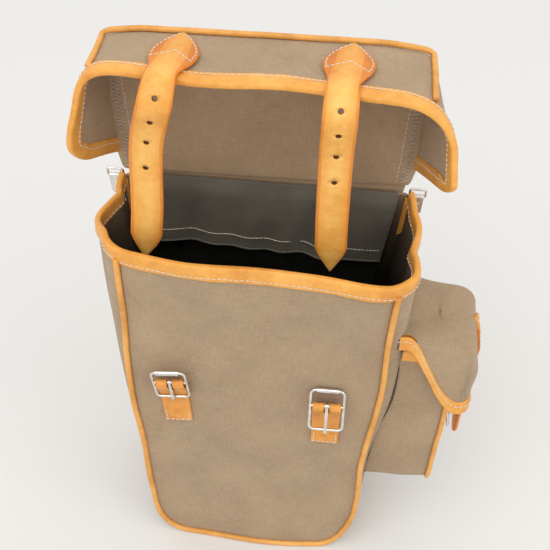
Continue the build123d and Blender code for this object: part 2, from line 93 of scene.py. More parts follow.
def hump(x, centre, width):
    return math.exp(-(((x - centre) / width) ** 2))


def through(values, t):
    """Parabola through three values at t = 0, 0.5 and 1."""
    a, b, c = values
    return (2 * t * t - 3 * t + 1) * a + (4 * t - 4 * t * t) * b + (2 * t * t - t) * c


def steps(count):
    return [i / (count - 1) for i in range(count)]


def spline(stations, count):
    """Points of any dimension on a Catmull-Rom curve through stations, evenly spread."""
    pts = [stations[0]] + list(stations) + [stations[-1]]
    out = []
    for k in steps(count):
        at = k * (len(stations) - 1)
        i = min(int(at), len(stations) - 2)
        t = at - i
        p0, p1, p2, p3 = pts[i:i + 4]
        out.append([
            0.5 * (2 * b + (c - a) * t + (2 * a - 5 * b + 4 * c - d) * t * t
                   + (3 * b - a - 3 * c + d) * t ** 3)
            for a, b, c, d in zip(p0, p1, p2, p3)
        ])
    return out


def bend_points(p0, corner, p2, count):
    """Rounded corner from p0 to p2."""
    return [p0 * (1 - t) ** 2 + corner * (2 * t * (1 - t)) + p2 * t * t for t in steps(count)]


def resample(points, pitch):
    """Places along a polyline at an even pitch, as fractional indices into its points."""
    out, left = [], 0.0
    for i in range(len(points) - 1):
        a, b = points[i], points[i + 1]
        length = (b - a).length
        while left <= length and length > 0:
            out.append(i + left / length)
            left += pitch
        left -= length
    return out


def at_share(values, share):
    """Value at a fractional index."""
    i = min(int(share), len(values) - 2)
    return values[i].lerp(values[i + 1], share - i)


# ---------------------------------------------------------------- pieces
def finish_piece(o, body, nodes=()):
    """Hide the CAD nodes that the piece stands for, and attach it to the body it rides on."""
    if nodes:
        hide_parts(*nodes)
    if body:
        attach(o, body)


def new_object(name, bm, materials):
    mesh = bpy.data.meshes.new(name)
    bm.normal_update()
    bm.to_mesh(mesh)
    bm.free()
    for face in mesh.polygons:
        face.use_smooth = True
    o = bpy.data.objects.new(name, mesh)
    for material in materials:
        mesh.materials.append(material)
    bpy.context.collection.objects.link(o)
    return o


def lengths(points):
    out = [0.0]
    for a, b in zip(points, points[1:]):
        out.append(out[-1] + (b - a).length)
    return out


def sheet(name, rows, thick, materials, inside=CENTRE, skip=None, weld=False, flat=None):
    """Cloth or leather through rows of points, with UVs in metres, thickened inwards."""
    bm = bmesh.new()
    uv = bm.loops.layers.uv.new("weave")
    verts = [[bm.verts.new(p * MM) for p in row] for row in rows]
    middle = len(rows[0]) // 2
    down = lengths([row[middle] for row in rows])
    across = [lengths(row) for row in rows]
    outward = 0.0
    for i in range(len(rows) - 1):
        for j in range(len(rows[0]) - 1):
            if skip and skip(i, j):
                continue
            corners = [(i, j), (i + 1, j), (i + 1, j + 1), (i, j + 1)]
            face = bm.faces.new([verts[a][b] for a, b in corners])
            for loop, (a, b) in zip(face.loops, corners):
                place = flat(rows[a][b]) if flat else (across[a][b], down[a])
                loop[uv].uv = (place[0] * MM, place[1] * MM)
            face.normal_update()
            outward += face.normal.dot(face.calc_center_median() - inside * MM)
    if outward < 0:
        bmesh.ops.reverse_faces(bm, faces=bm.faces[:])
    if weld:
        bmesh.ops.remove_doubles(bm, verts=bm.verts[:], dist=0.00005)
    o = new_object(name, bm, materials)
    if thick:
        solidify = o.modifiers.new("thickness", "SOLIDIFY")
        solidify.thickness = thick * MM
        solidify.offset = -1
        solidify.material_offset = len(materials) - 1
        solidify.material_offset_rim = 0
    soft = o.modifiers.new("soft", "SUBSURF")
    soft.levels = 1
    soft.render_levels = 1
    return o


def ring_of(bm, centre, side, other, radius, sides):
    ring = []
    for k in range(sides):
        a = math.tau * k / sides
        ring.append(bm.verts.new((centre + (side * math.cos(a) + other * math.sin(a)) * radius) * MM))
    return ring


def skin(bm, rings, uv=None, place=None):
    """Faces between rings of vertices, closed at both ends. place gives a corner's UV."""
    sides = len(rings[0])
    for i in range(len(rings) - 1):
        for k in range(sides):
            n = (k + 1) % sides
            face = bm.faces.new([rings[i][k], rings[i][n], rings[i + 1][n], rings[i + 1][k]])
            if place:
                for loop, corner in zip(face.loops, [(k, i), (k + 1, i), (k + 1, i + 1), (k, i + 1)]):
                    loop[uv].uv = place(*corner)
    bm.faces.new(list(reversed(rings[0])))
    bm.faces.new(rings[-1])


def tube(name, points, radius, material, sides=10):
    """Round tube along points, closed at its ends."""
    bm = bmesh.new()
    uv = bm.loops.layers.uv.new("weave")
    along = lengths(points)
    rings = []
    side = Vector((0.3, 0.2, 0.93))
    for i, p in enumerate(points):
        tangent = (points[min(i + 1, len(points) - 1)] - points[max(i - 1, 0)]).normalized()
        side = (side - tangent * side.dot(tangent)).normalized()
        rings.append(ring_of(bm, p, side, tangent.cross(side), radius, sides))
    skin(bm, rings, uv, lambda k, i: (k * radius * MM * math.tau / sides, along[i] * MM))
    return new_object(name, bm, [material])


def add_stitch(bm, p, along, up, length=3.2, radius=0.42):
    """One stitch: a thread that rises out of the leather and dips back into it."""
    side = along.cross(up).normalized()
    rings = []
    for s, lift, r in ((-0.5, -0.35, 0.55), (-0.3, 0.15, 1), (0.3, 0.15, 1), (0.5, -0.35, 0.55)):
        middle = p + along * (s * length) + up * (lift * radius * 1.6)
        rings.append(ring_of(bm, middle, side, up, radius * r, 6))
    skin(bm, rings)


def stitches(name, runs, material, pitch=4.3):
    """Stitch lines, each a run of points with the directions that they face."""
    bm = bmesh.new()
    for points, ups in runs:
        for share in resample(points, pitch):
            i = min(int(share), len(points) - 2)
            along = (points[i + 1] - points[i]).normalized()
            up = at_share(ups, share)
            up = (up - along * up.dot(along)).normalized()
            add_stitch(bm, at_share(points, share), along, up)
    o = new_object(name, bm, [material])
    bm_fix = bmesh.new()
    bm_fix.from_mesh(o.data)
    bmesh.ops.recalc_face_normals(bm_fix, faces=bm_fix.faces[:])
    bm_fix.to_mesh(o.data)
    bm_fix.free()
    return o


# ---------------------------------------------------------------- edges with folded leather
class Edge:
    """An edge of a sheet: its points, outward normals, and directions into the sheet."""

    def __init__(self, points, normals, inwards):
        self.points, self.normals, self.inwards = points, normals, inwards

    def at(self, i, depth, offset):
        return self.points[i] + self.inwards[i] * depth + self.normals[i] * offset

    def line(self, depth, offset):
        return [self.at(i, depth, offset) for i in range(len(self.points))]


def surface_edge(columns):
    """Edge from columns of (point on the edge, point a few mm into the sheet)."""
    points = [a for a, _ in columns]
    inwards = [(b - a).normalized() for a, b in columns]
    normals = []
    for i, p in enumerate(points):
        along = points[min(i + 1, len(points) - 1)] - points[max(i - 1, 0)]
        normals.append(along.cross(inwards[i]).normalized())
    return Edge(points, normals, inwards)


def flipped(edge, reference):
    """Turn an edge's normals so that they point away from a reference point."""
    middle = len(edge.points) // 2
    if edge.normals[middle].dot(edge.points[middle] - reference) < 0:
        edge.normals = [-n for n in edge.normals]
    return edge


# Section of folded leather. FOLD is its outer face, as (distance from its cut edge, height off the
# sheet), and CREST runs round the fold, as (distance beyond the sheet's edge, height).
FOLD = ((-0.1, 0.1), (-0.4, 1.0), (-1.2, 1.45), (-6.0, 1.6), (-10.5, 1.6))
CREST = ((1.2, 1.2), (1.75, 0.0), (1.75, -2.5), (1.2, -3.7))


def folded_leather(name, edge, depth, material, wave=0.0):
    """Leather folded over an edge, thicker over the fold, with its cut edges on both faces."""
    outer = [(depth + d, n) for d, n in FOLD]
    crest = [(-d, n) for d, n in CREST]
    inner = [(d, -WALL - n) for d, n in reversed(outer)]
    profile = outer + [(1.5, 1.55)] + crest + [(1.5, -WALL - 1.55)] + inner
    rows = []
    for d, n in profile:
        row = []
        for i, p in enumerate(edge.points):
            ripple = wave * noise.noise(p / 11.0) * (1 if d > 4 else 0.4)
            row.append(edge.at(i, d + ripple * 0.6, n + (ripple if n > 0 else -ripple)))
        rows.append(row)
    middle = edge.at(len(edge.points) // 2, depth / 2, -WALL / 2)
    return sheet(name, rows, 0, [material], inside=middle)


def edge_stitches(name, edge, body, depth=STITCH_DEPTH, both_faces=True):
    """Stitch line along a folded edge, on its outer face or on both."""
    runs = [(edge.line(depth, STITCH_LIFT), edge.normals)]
    if both_faces:
        runs.append((edge.line(depth, -WALL - STITCH_LIFT), [-n for n in edge.normals]))
    finish_piece(stitches(name, runs, THREAD), body)


# ---------------------------------------------------------------- materials
def shader(name, roughness, sheen=0.0, metallic=0.0, coat=0.0, specular=0.5):
    material = bpy.data.materials.new(name)
    material.use_nodes = True
    tree = material.node_tree
    bsdf = tree.nodes["Principled BSDF"]
    bsdf.inputs["Roughness"].default_value = roughness
    bsdf.inputs["Metallic"].default_value = metallic
    bsdf.inputs["Sheen Weight"].default_value = sheen
    bsdf.inputs["Sheen Roughness"].default_value = 0.5
    bsdf.inputs["Coat Weight"].default_value = coat
    bsdf.inputs["Coat Roughness"].default_value = 0.3
    bsdf.inputs["Specular IOR Level"].default_value = specular
    return material, tree, bsdf


def object_place(tree):
    return tree.nodes.new("ShaderNodeTexCoord").outputs["Object"]


def weave_place(tree):
    """UVs in metres along and across the cloth."""
    uv = tree.nodes.new("ShaderNodeUVMap")
    uv.uv_map = "weave"
    return uv.outputs[0]


def axes(tree, vector):
    split = tree.nodes.new("ShaderNodeSeparateXYZ")
    tree.links.new(vector, split.inputs[0])
    return split.outputs


def noise_node(tree, vector, scale, detail=3.0, rough=0.55):
    made = tree.nodes.new("ShaderNodeTexNoise")
    made.inputs["Scale"].default_value = scale
    made.inputs["Detail"].default_value = detail
    made.inputs["Roughness"].default_value = rough
    tree.links.new(vector, made.inputs["Vector"])
    return made.outputs["Fac"]


def math_node(tree, operation, *values):
    made = tree.nodes.new("ShaderNodeMath")
    made.operation = operation
    for socket, value in zip(made.inputs, values):
        if isinstance(value, (int, float)):
            socket.default_value = value
        else:
            tree.links.new(value, socket)
    return made.outputs[0]


def weighted(tree, *terms):
    """Sum of values, each times its weight."""
    total = None
    for value, weight in terms:
        term = math_node(tree, "MULTIPLY", value, weight)
        total = math_node(tree, "ADD", total, term) if total else term
    return total


def vary_roughness(tree, bsdf, value, share, base):
    tree.links.new(math_node(tree, "MULTIPLY_ADD", value, share, base), bsdf.inputs["Roughness"])


def ramp(tree, value, stops):
    """Colours at positions of a value."""
    made = tree.nodes.new("ShaderNodeValToRGB")
    made.color_ramp.elements.remove(made.color_ramp.elements[1])
    for i, (position, colour) in enumerate(stops):
        element = made.color_ramp.elements[0] if i == 0 else made.color_ramp.elements.new(position)
        element.position = position
        element.color = (*colour, 1)
    tree.links.new(value, made.inputs["Fac"])
    return made.outputs["Color"]


def multiply(tree, colour, tint, share=1.0):
    """Colour times a tint, by a share."""
    made = tree.nodes.new("ShaderNodeMix")
    made.data_type = "RGBA"
    made.blend_type = "MULTIPLY"
    made.inputs[0].default_value = share
    tree.links.new(colour, made.inputs[6])
    tree.links.new(tint, made.inputs[7])
    return made.outputs[2]


def bump(tree, bsdf, height, strength, distance):
    made = tree.nodes.new("ShaderNodeBump")
    made.inputs["Strength"].default_value = strength
    made.inputs["Distance"].default_value = distance
    tree.links.new(height, made.inputs["Height"])
    tree.links.new(made.outputs["Normal"], bsdf.inputs["Normal"])


def scaled(tree, vector, sx, sy):
    made = tree.nodes.new("ShaderNodeMapping")
    made.inputs["Scale"].default_value = (sx, sy, 1)
    tree.links.new(vector, made.inputs["Vector"])
    return made.outputs["Vector"]


def canvas(name, dark, mid, light):
    """Plain-woven canvas: threads 1.1 mm wide, uneven yarn and faint patches."""
    material, tree, bsdf = shader(name, 0.9, sheen=0.15, specular=0.25)
    uv = weave_place(tree)
    place = object_place(tree)
    wobble = math_node(tree, "MULTIPLY", noise_node(tree, place, 60, 2), 1.6)
    split = axes(tree, uv)
    waves = []
    for axis in ("X", "Y"):
        phase = math_node(tree, "MULTIPLY_ADD", split[axis], math.pi / THREAD_WIDTH, wobble)
        waves.append(math_node(tree, "SINE", phase))
    height = math_node(tree, "MULTIPLY_ADD", math_node(tree, "MULTIPLY", *waves), 0.5, 0.5)
    yarn = weighted(tree, *[(noise_node(tree, scaled(tree, uv, sx, sy), 1.0, 2), 0.5)
                            for sx, sy in ((900, 90), (90, 900))])
    patches = noise_node(tree, place, 22, 4)
    tone = weighted(tree, (yarn, 0.42), (patches, 0.3), (height, 0.17))
    tree.links.new(ramp(tree, tone, ((0.3, dark), (0.5, mid), (0.72, light))), bsdf.inputs["Base Color"])
    vary_roughness(tree, bsdf, patches, 0.15, 0.8)
    bump(tree, bsdf, weighted(tree, (height, 1.0), (yarn, 0.7)), 0.55, 0.0004)
    return material


def strap_edges_and_end_shade(tree, colour, patches):
    """Straps: darker towards their edges, with painted shade over their sewn ends."""
    split = axes(tree, weave_place(tree))
    off = weighted(tree, (math_node(tree, "ABSOLUTE", split["X"]), 1.0), (patches, 0.35))
    tint = ramp(tree, off, ((0.45, (1, 1, 1)), (0.95, (0.96, 0.8, 0.62)), (1.22, (0.84, 0.56, 0.34))))
    # Painted shade: the strap's first 20 to 55 mm, its sewn anchor end, is darkened.
    sewn = ramp(tree, split["Y"], ((0.02, (0.82, 0.68, 0.5)), (0.055, (1, 1, 1))))
    return multiply(tree, multiply(tree, colour, tint), sewn)


def leather(name, dark, mid, light, with_edges_and_end_shade=False):
    """Vegetable-tanned leather with cloudy colour and pores, darkened in its concave creases as painted
    shade.
    """
    material, tree, bsdf = shader(name, 0.5, coat=0.1, specular=0.4)
    place = object_place(tree)
    patches = noise_node(tree, place, 35, 4, 0.6)
    marks = noise_node(tree, place, 170, 3, 0.7)
    tone = weighted(tree, (patches, 0.65), (marks, 0.35))
    colour = ramp(tree, tone, ((0.34, dark), (0.5, mid), (0.66, light)))
    cells = tree.nodes.new("ShaderNodeTexVoronoi")
    cells.inputs["Scale"].default_value = 900
    tree.links.new(place, cells.inputs["Vector"])
    # Painted shade: concave places are darkened by their pointiness, and convex places get only a faint warm
    # tint.
    concave_shade_pointiness = tree.nodes.new("ShaderNodeNewGeometry").outputs["Pointiness"]
    edge = ramp(tree, concave_shade_pointiness, ((0.46, (0.62, 0.5, 0.42)), (0.5, (1, 1, 1)), (0.56, (1.0, 0.96, 0.9))))
    if with_edges_and_end_shade:
        colour = strap_edges_and_end_shade(tree, colour, patches)
    tree.links.new(multiply(tree, colour, edge, 0.7), bsdf.inputs["Base Color"])
    vary_roughness(tree, bsdf, marks, 0.3, 0.35)
    bump(tree, bsdf, weighted(tree, (cells.outputs["Distance"], 0.5), (marks, 1.0)), 0.35, 0.0004)
    return material


def nylon():
    """Thin nylon, ribbed and creased."""
    material, tree, bsdf = shader("nylon", 0.5, sheen=0.25, specular=0.5)
    place = object_place(tree)
    ribs = noise_node(tree, scaled(tree, weave_place(tree), 500, 2600), 1.0, 2)
    patches = noise_node(tree, place, 30, 3)
    tone = weighted(tree, (ribs, 0.5), (patches, 0.5))
    colour = ramp(tree, tone, ((0.35, (0.085, 0.078, 0.06)), (0.65, (0.155, 0.142, 0.11))))
    tree.links.new(colour, bsdf.inputs["Base Color"])
    creases = noise_node(tree, place, 55, 4, 0.6)
    vary_roughness(tree, bsdf, patches, 0.3, 0.35)
    bump(tree, bsdf, weighted(tree, (ribs, 0.2), (creases, 1.0)), 0.5, 0.0015)
    return material


def lining():
    """Black coated lining."""
    material, tree, bsdf = shader("lining", 0.85, specular=0.2)
    place = object_place(tree)
    colour = ramp(tree, noise_node(tree, place, 25, 3),
                  ((0.35, (0.006, 0.006, 0.005)), (0.7, (0.014, 0.014, 0.012))))
    tree.links.new(colour, bsdf.inputs["Base Color"])
    bump(tree, bsdf, noise_node(tree, place, 1500, 2), 0.4, 0.0004)
    return material


def shaded_inside_wall():
    """Canvas seen inside the mouth, darker than the outer canvas and darkening to black below: painted shade
    of the bag's interior.
    """
    material, tree, bsdf = shader("inside_canvas_painted_shade", 0.9, specular=0.2)
    place = object_place(tree)
    fine = noise_node(tree, place, 1100, 3)
    colour = ramp(tree, fine, ((0.35, (0.15, 0.108, 0.07)), (0.65, (0.26, 0.19, 0.125))))
    # Painted shade: the colour fades to black below 25 cm in height, deep in the bag's interior.
    depth = ramp(tree, axes(tree, place)["Z"], ((0.25, (0.05, 0.05, 0.05)), (0.3, (0.4, 0.4, 0.4)),
                                                (0.335, (1, 1, 1))))
    tree.links.new(multiply(tree, colour, depth), bsdf.inputs["Base Color"])
    bump(tree, bsdf, fine, 0.4, 0.0004)
    return material


def metal():
    """Nickel plate."""
    material, tree, bsdf = shader("nickel", 0.16, metallic=1.0)
    marks = noise_node(tree, object_place(tree), 260, 3)
    colour = ramp(tree, marks, ((0.35, (0.62, 0.6, 0.58)), (0.65, (0.8, 0.78, 0.75))))
    tree.links.new(colour, bsdf.inputs["Base Color"])
    vary_roughness(tree, bsdf, marks, 0.16, 0.08)
    return material


def thread(name, colour):
    material, tree, bsdf = shader(name, 0.7, sheen=0.3)
    twist = noise_node(tree, object_place(tree), 2200, 2)
    dim = tuple(c * 0.72 for c in colour)
    tree.links.new(ramp(tree, twist, ((0.35, dim), (0.65, colour))), bsdf.inputs["Base Color"])
    bump(tree, bsdf, twist, 0.4, 0.0003)
    return material


CANVAS = canvas("canvas", (0.30, 0.21, 0.13), (0.42, 0.305, 0.195), (0.53, 0.40, 0.27))
# A lighter copy of the canvas for the inner faces of the lid and hinge strip: painted light that brightens
# their shaded side.
LIT_CANVAS_INSIDE = canvas("canvas_inside_lit", (0.33, 0.222, 0.135), (0.46, 0.325, 0.20), (0.57, 0.415, 0.27))
LEATHER_M = leather("leather", (0.70, 0.29, 0.045), (0.82, 0.38, 0.07), (0.90, 0.47, 0.11))
STRAP_M = leather("strap_leather", (0.78, 0.36, 0.065), (0.90, 0.48, 0.11), (0.97, 0.58, 0.17),
                  with_edges_and_end_shade=True)
# Near-black brown for the walls of the punched strap holes: painted shade inside the holes.
HOLE_SHADE_M = leather("hole_shade_leather", (0.16, 0.06, 0.015), (0.22, 0.085, 0.02), (0.28, 0.11, 0.03))
PIPING_M = leather("piping_leather", (0.62, 0.27, 0.05), (0.76, 0.37, 0.085), (0.86, 0.46, 0.13))
NYLON = nylon()
LINING = lining()
SHADED_BAG_INSIDE = shaded_inside_wall()
METAL = metal()
TAB_M = leather("tab_leather", (0.60, 0.225, 0.035), (0.74, 0.31, 0.055), (0.84, 0.39, 0.085))
THREAD = thread("thread", (0.80, 0.74, 0.62))
OVERLOCK = thread("overlock_thread", (0.84, 0.76, 0.74))


# ---------------------------------------------------------------- shape of the compartment
def front_y(z):
    return mix(FRONT_Y[0], FRONT_Y[1], z / HEIGHT)


def body_warp(p):
    """Slack of the sewn canvas: its front leans over towards the pocket, and its walls bulge."""
    x, y, z = p
    front = min(max((BACK_Y - y) / 98.0, 0.0), 1.15)
    high = smooth(200, HEIGHT, z)
    dy = -7.0 * (x / 107.0) * high * front
    wave = 3.5 + 4 * hump(x, -50, 38) + 3.5 * hump(x, 88, 24) - 3.5 * hump(x, -112, 26)
    dy -= wave * smooth(262, HEIGHT, z) * front ** 3
    level = math.sin(math.pi * min(max(z, 0), HEIGHT) / HEIGHT)
    dy -= 2.2 * hump(x, 0, 26) * level * smooth(0.85, 1.0, front)
    if x < 0:
        slack = 8.0 * hump(y, 12, 24) - 5.5 * smooth(34, 50, y)
        belly = (6.5 * hump(z, 205, 90) + 5.5 * hump(z, 85, 55)) * smooth(56, 10, y)
    else:
        slack = -8.0 * hump(y, 34, 20) - 4.0 * smooth(42, 58, y) + 7.5 * hump(y, -22, 20)
        belly = (3.0 + 5.5 * hump(y, -14, 26)) * hump(z, 175, 90) * smooth(58, 20, y)
        belly += 7.0 * hump(z, 62, 42) * smooth(58, 10, y)
    slack = slack * smooth(20, 320, z) + belly * smooth(4, 44, z)
    dx = math.copysign(slack * smooth(60, 95, abs(x)), x)
    seam = smooth(0.88, 1.0, front)
    if x < 0:
        dx += (2.0 * hump(z, 240, 60) + 4.5 * hump(z, 100, 60)) * smooth(50, 88, -x) * seam
    else:
        dx += 4.0 * hump(z, 205, 70) * smooth(50, 95, x) * seam
    dy -= 7.0 * smooth(90, 0, z) * smooth(0.4, 1.0, front) * hump(x, 20, 62)
    drift = noise.noise_vector(Vector(p) / 42.0) * 0.9 + noise.noise_vector(Vector(p) / 17.0) * 0.25
    keep = smooth(0, 30, z)
    return Vector((x + dx + drift.x * keep, y + dy + drift.y * keep, z + drift.z * 0.4 * keep))


def u_path(t, sides=20, arcs=9, bottom=20):
    """Outline of the bag from the left rim under the base to the right rim, as (x, z, nx, nz)."""
    low, top, rim = through(HALF_LOW, t), through(HALF_TOP, t), through(RIM, t)
    lean = Vector((-(top - low), HEIGHT)).normalized()
    corner = Vector((-low, 0.0))
    rim_point = corner + lean * (rim / lean.y)
    halves = []
    for tangent in (CORNER_R * 0.92 + 18 * t, CORNER_R * 0.92 + 12 * t):
        arc_start, arc_end = corner + lean * tangent, corner + Vector((tangent, 0))
        half = [rim_point.lerp(arc_start, k) for k in steps(sides)]
        halves.append(half + bend_points(arc_start, corner, arc_end, arcs)[1:])
    left = halves[0]
    right = [Vector((-p.x, p.y)) for p in reversed(halves[1])]
    path = left + [left[-1].lerp(right[0], k) for k in steps(bottom)[1:-1]] + right
    out = []
    for i, p in enumerate(path):
        along = (path[min(i + 1, len(path) - 1)] - path[max(i - 1, 0)]).normalized()
        out.append((p.x, p.y, along.y, -along.x))
    return out


SEAM_ANGLE = math.radians(66)  # how far round the front corner its piping sits


def corner_radius(z):
    return 3.0 + 19.0 * smooth(30, 300, z)


def seam_inset(z):
    """How far the piping seam lies inside the front's straight outline."""
    return 1.0 + 2.2 * smooth(60, 300, z)


def round_at(z, angle):
    """Distance outside the seam and behind the front face, at an angle round the front corner."""
    radius = corner_radius(z)
    out = radius * (math.cos(angle) - math.cos(SEAM_ANGLE)) - seam_inset(z)
    return out, radius * (1 - math.sin(angle))


def wall_x(t, z, angle=0.0):
    """Half width of the compartment at depth t, at an angle round its front corner."""
    low, top = through(HALF_LOW, t), through(HALF_TOP, t)
    return low + (top - low) * z / HEIGHT + round_at(z, angle)[0] * smooth(0.15, 1.0, t)


def rounded_point(entry, share):
    """Point on the rounded front corner: share 0 on the piping seam, 1 where it meets the strip."""
    x, z, nx, nz = entry
    out, behind = round_at(z, SEAM_ANGLE * (1 - share))
    return Vector((x + nx * out, front_y(z) + behind, z + nz * out))


def flat_u(t):
    """The U path at depth t, clear of the rounded corner at the front."""
    row = []
    for x, z, nx, nz in u_path(t):
        out, behind = round_at(z, 0.0)
        out *= smooth(0.15, 1.0, t)
        row.append(Vector((x + nx * out, mix(BACK_Y, front_y(z) + behind, t), z + nz * out)))
    return row


def outer_walls():
    """Side and base strip from the back to the piping seam."""
    rows = [flat_u(t) for t in steps(14)[:-1]]
    front = u_path(1.0)
    shares = (1.0, 0.8, 0.6, 0.4, 0.2, 0.0)
    rows += [[rounded_point(entry, share) for entry in front] for share in shares]
    rows = [[body_warp(p) for p in row] for row in rows]
    return sheet("side_and_base_canvas", rows, WALL, [CANVAS, SHADED_BAG_INSIDE])


def front_rows(columns=30):
    """Front panel from rim to base, row by row, between the two sides of its piping seam."""
    path = u_path(1.0)
    rows = []
    for i in range(20 + 8):
        left, right = path[i], path[len(path) - 1 - i]
        ends = []
        for x, z, nx, nz in (left, right):
            points = []
            for share in (0.0, 0.35, 0.7, 1.0):
                out, behind = round_at(z, mix(SEAM_ANGLE, RIGHT_ANGLE, share))
                points.append(Vector((x + nx * out, front_y(z) + behind, z + nz * out)))
            ends.append(points)
        middle = [ends[0][-1].lerp(ends[1][-1], k) for k in steps(columns)[1:-1]]
        rows.append(ends[0] + middle + list(reversed(ends[1])))
    return rows


def front_panel():
    rows = [[body_warp(p) for p in row] for row in front_rows()]
    return sheet("front_canvas", rows, WALL, [CANVAS, SHADED_BAG_INSIDE])


def back_panel():
    path = flat_u(0.0)
    rows = []
    for i in range(28):
        rows.append([path[i].lerp(path[-1 - i], k) for k in steps(24)])
    rows = [[body_warp(p) for p in row] for row in rows]
    return sheet("back_canvas", rows, WALL, [CANVAS, SHADED_BAG_INSIDE])


def mouth_columns():
    """The rim from the left back corner round the front to the right back corner."""

    def side(sign, t, z):
        return Vector((sign * wall_x(t, z), mix(BACK_Y, front_y(z) + corner_radius(z), t), z))

    def corner(sign, angle, z):
        return Vector((sign * wall_x(1.0, z, angle), front_y(z) + round_at(z, angle)[1], z))

    def front(k, _, z):
        x = wall_x(1.0, z, RIGHT_ANGLE)
        return Vector((mix(-x, x, k), front_y(z), z))

    depths = [t * 0.98 + 0.02 for t in steps(22)]
    angles = [RIGHT_ANGLE * (0.1 * i) for i in range(1, 11)]
    places = [(side, -1, t, through(RIM, t)) for t in depths]
    places += [(corner, -1, angle, RIM[2]) for angle in angles]
    places += [(front, k, 0, RIM[2]) for k in steps(40)[1:-1]]
    places += [(corner, 1, angle, RIM[2]) for angle in reversed(angles)]
    places += [(side, 1, t, through(RIM, t)) for t in reversed(depths)]
    return [(body_warp(make(a, b, rim)), body_warp(make(a, b, rim - 6.0))) for make, a, b, rim in places]


def compartment():
    strip = outer_walls()
    finish_piece(strip, "bag", ("left_side_panel", "right_side_panel", "base_panel"))
    finish_piece(front_panel(), "bag", ("front_panel",))
    finish_piece(back_panel(), "bag", ("back_panel",))
    edge = flipped(surface_edge(mouth_columns()), CENTRE)
    binding = folded_leather("mouth_leather", edge, BINDING_H, LEATHER_M, wave=0.5)
    finish_piece(binding, "bag", ("mouth_binding",))
    edge_stitches("mouth_stitching", edge, "bag")
    path = u_path(1.0, sides=40, arcs=10, bottom=30)
    points = []
    for entry in path:
        if entry[1] < RIM[2] - 7:
            p = rounded_point(entry, 0.0)
            p = body_warp(p) + Vector((entry[2] * 1.0, -1.7, entry[3] * 1.0))
            points.append(Vector((p.x, p.y, max(p.z, 2.6))))
    finish_piece(tube("front_piping_leather", points, 2.5, PIPING_M), "bag", ("front_piping",))


def weather_flap():
    """Nylon flap sewn inside the top of the back, wavy at its hem."""
    rows = []
    for k in steps(16):
        row = []
        for j in steps(50):
            x = mix(-103, 103, j)
            low = 281 - 8 * j - 2.5 * smooth(0.35, 0.9, j)
            z = mix(HINGE_Z + 1.5 - 2 * j, low, k)
            slant = x + 26 * k
            fold = 1.5 * math.sin(slant / 13.0 + 0.8) + 1.5 * math.sin(slant / 6.3 + 1.2 * math.sin(x / 31.0))
            fold += 3.0 * noise.noise(Vector((slant / 24, z / 60, 1)))
            y = 57.5 - 3 * smooth(0, 0.2, k) - (4.5 + fold) * k ** 0.7
            row.append(Vector((x * mix(1.06, 0.97, k), y, z)))
        rows.append(row)
    cloth = sheet("nylon_flap", rows, 0.5, [NYLON])
    finish_piece(cloth, "bag", ("weather_flap",))
    hem = [p + Vector((0, -0.7, 13.0)) for p in rows[-1]]
    finish_piece(stitches("nylon_hem_stitching", [(hem, [Vector((0, -1, 0))] * len(hem))], THREAD, 3.2),
                 "bag")
    roll = [p + Vector((0, -0.2, 0.5)) for p in rows[-1]]
    finish_piece(tube("nylon_hem", roll, 1.0, NYLON, 8), "bag")


# ---------------------------------------------------------------- lid
def row_start(v):
    """Where a row of the skirt starts, so that its free rear corners are rounded."""
    past = max(v - SKIRT + 20.0, 0.0) / 20.0
    return 0.045 * (1 - math.sqrt(max(1 - past * past, 0.0)))


def lid_point(v, k):
    """Outside of the skirt at depth v, with k from 0 at the left rear end to 1 at the right one."""
    share = v / SKIRT
    shoulder_x = mix(LID_HALF[1], FLARE_HALF[1], share)
    front_x = mix(LID_HALF[2], FLARE_HALF[2], share)
    shoulder_z = HINGE_Z + mix(SHOULDER[0], SHOULDER[1], share)
    far = HINGE_Z + LID_DEPTH
    sign = -1 if k < 0.5 else 1
    q = min(k, 1 - k) * 2
    radius = 13 + (14 if sign < 0 else 18) * share
    start = Vector((shoulder_x, shoulder_z))
    corner = Vector((front_x, far))
    side_dir = (start - corner).normalized()
    arc_start, arc_end = corner + side_dir * radius, corner - Vector((radius, 0))
    if q < 0.36:
        p = start.lerp(arc_start, q / 0.36)
    elif q < 0.52:
        t = (q - 0.36) / 0.16
        p = arc_start * (1 - t) ** 2 + corner * (2 * t * (1 - t)) + arc_end * t * t
    else:
        p = arc_end.lerp(Vector((0, far)), (q - 0.52) / 0.48)
    return lid_warp(Vector((sign * p.x, BACK_Y - v, p.y)))


def lid_warp(p):
    x, y, z = p
    v = (BACK_Y - y) / SKIRT
    low = 1 - smooth(365, 430, z)
    dy = -7 * (x / 125.0) * v + 1.5 * math.sin(x / 26.0) * v * v
    dz = 1.0 * math.sin(x / 19.0 + 1) * v * smooth(440, 470, z)
    dx = math.copysign(low * v * v * 3.0, x) - (6.5 * v * hump(z, 412, 26) if x < -60 else 0)
    if x > 60:
        dx += 6.5 * min(v, 1.0) * smooth(474, 435, z) * smooth(60, 110, x)
    dz -= (9.0 * v * v if x < 0 else -2.0) * low * smooth(60, 110, abs(x))
    dz -= 4.0 * smooth(84, 124, abs(x)) * smooth(430, 474, z) * (1 - 0.4 * v)
    drift = noise.noise_vector(Vector(p) / 38.0) * 1.0
    return Vector((x + dx + drift.x, y + dy + drift.y * 0.8, z + dz + drift.z * 0.6))


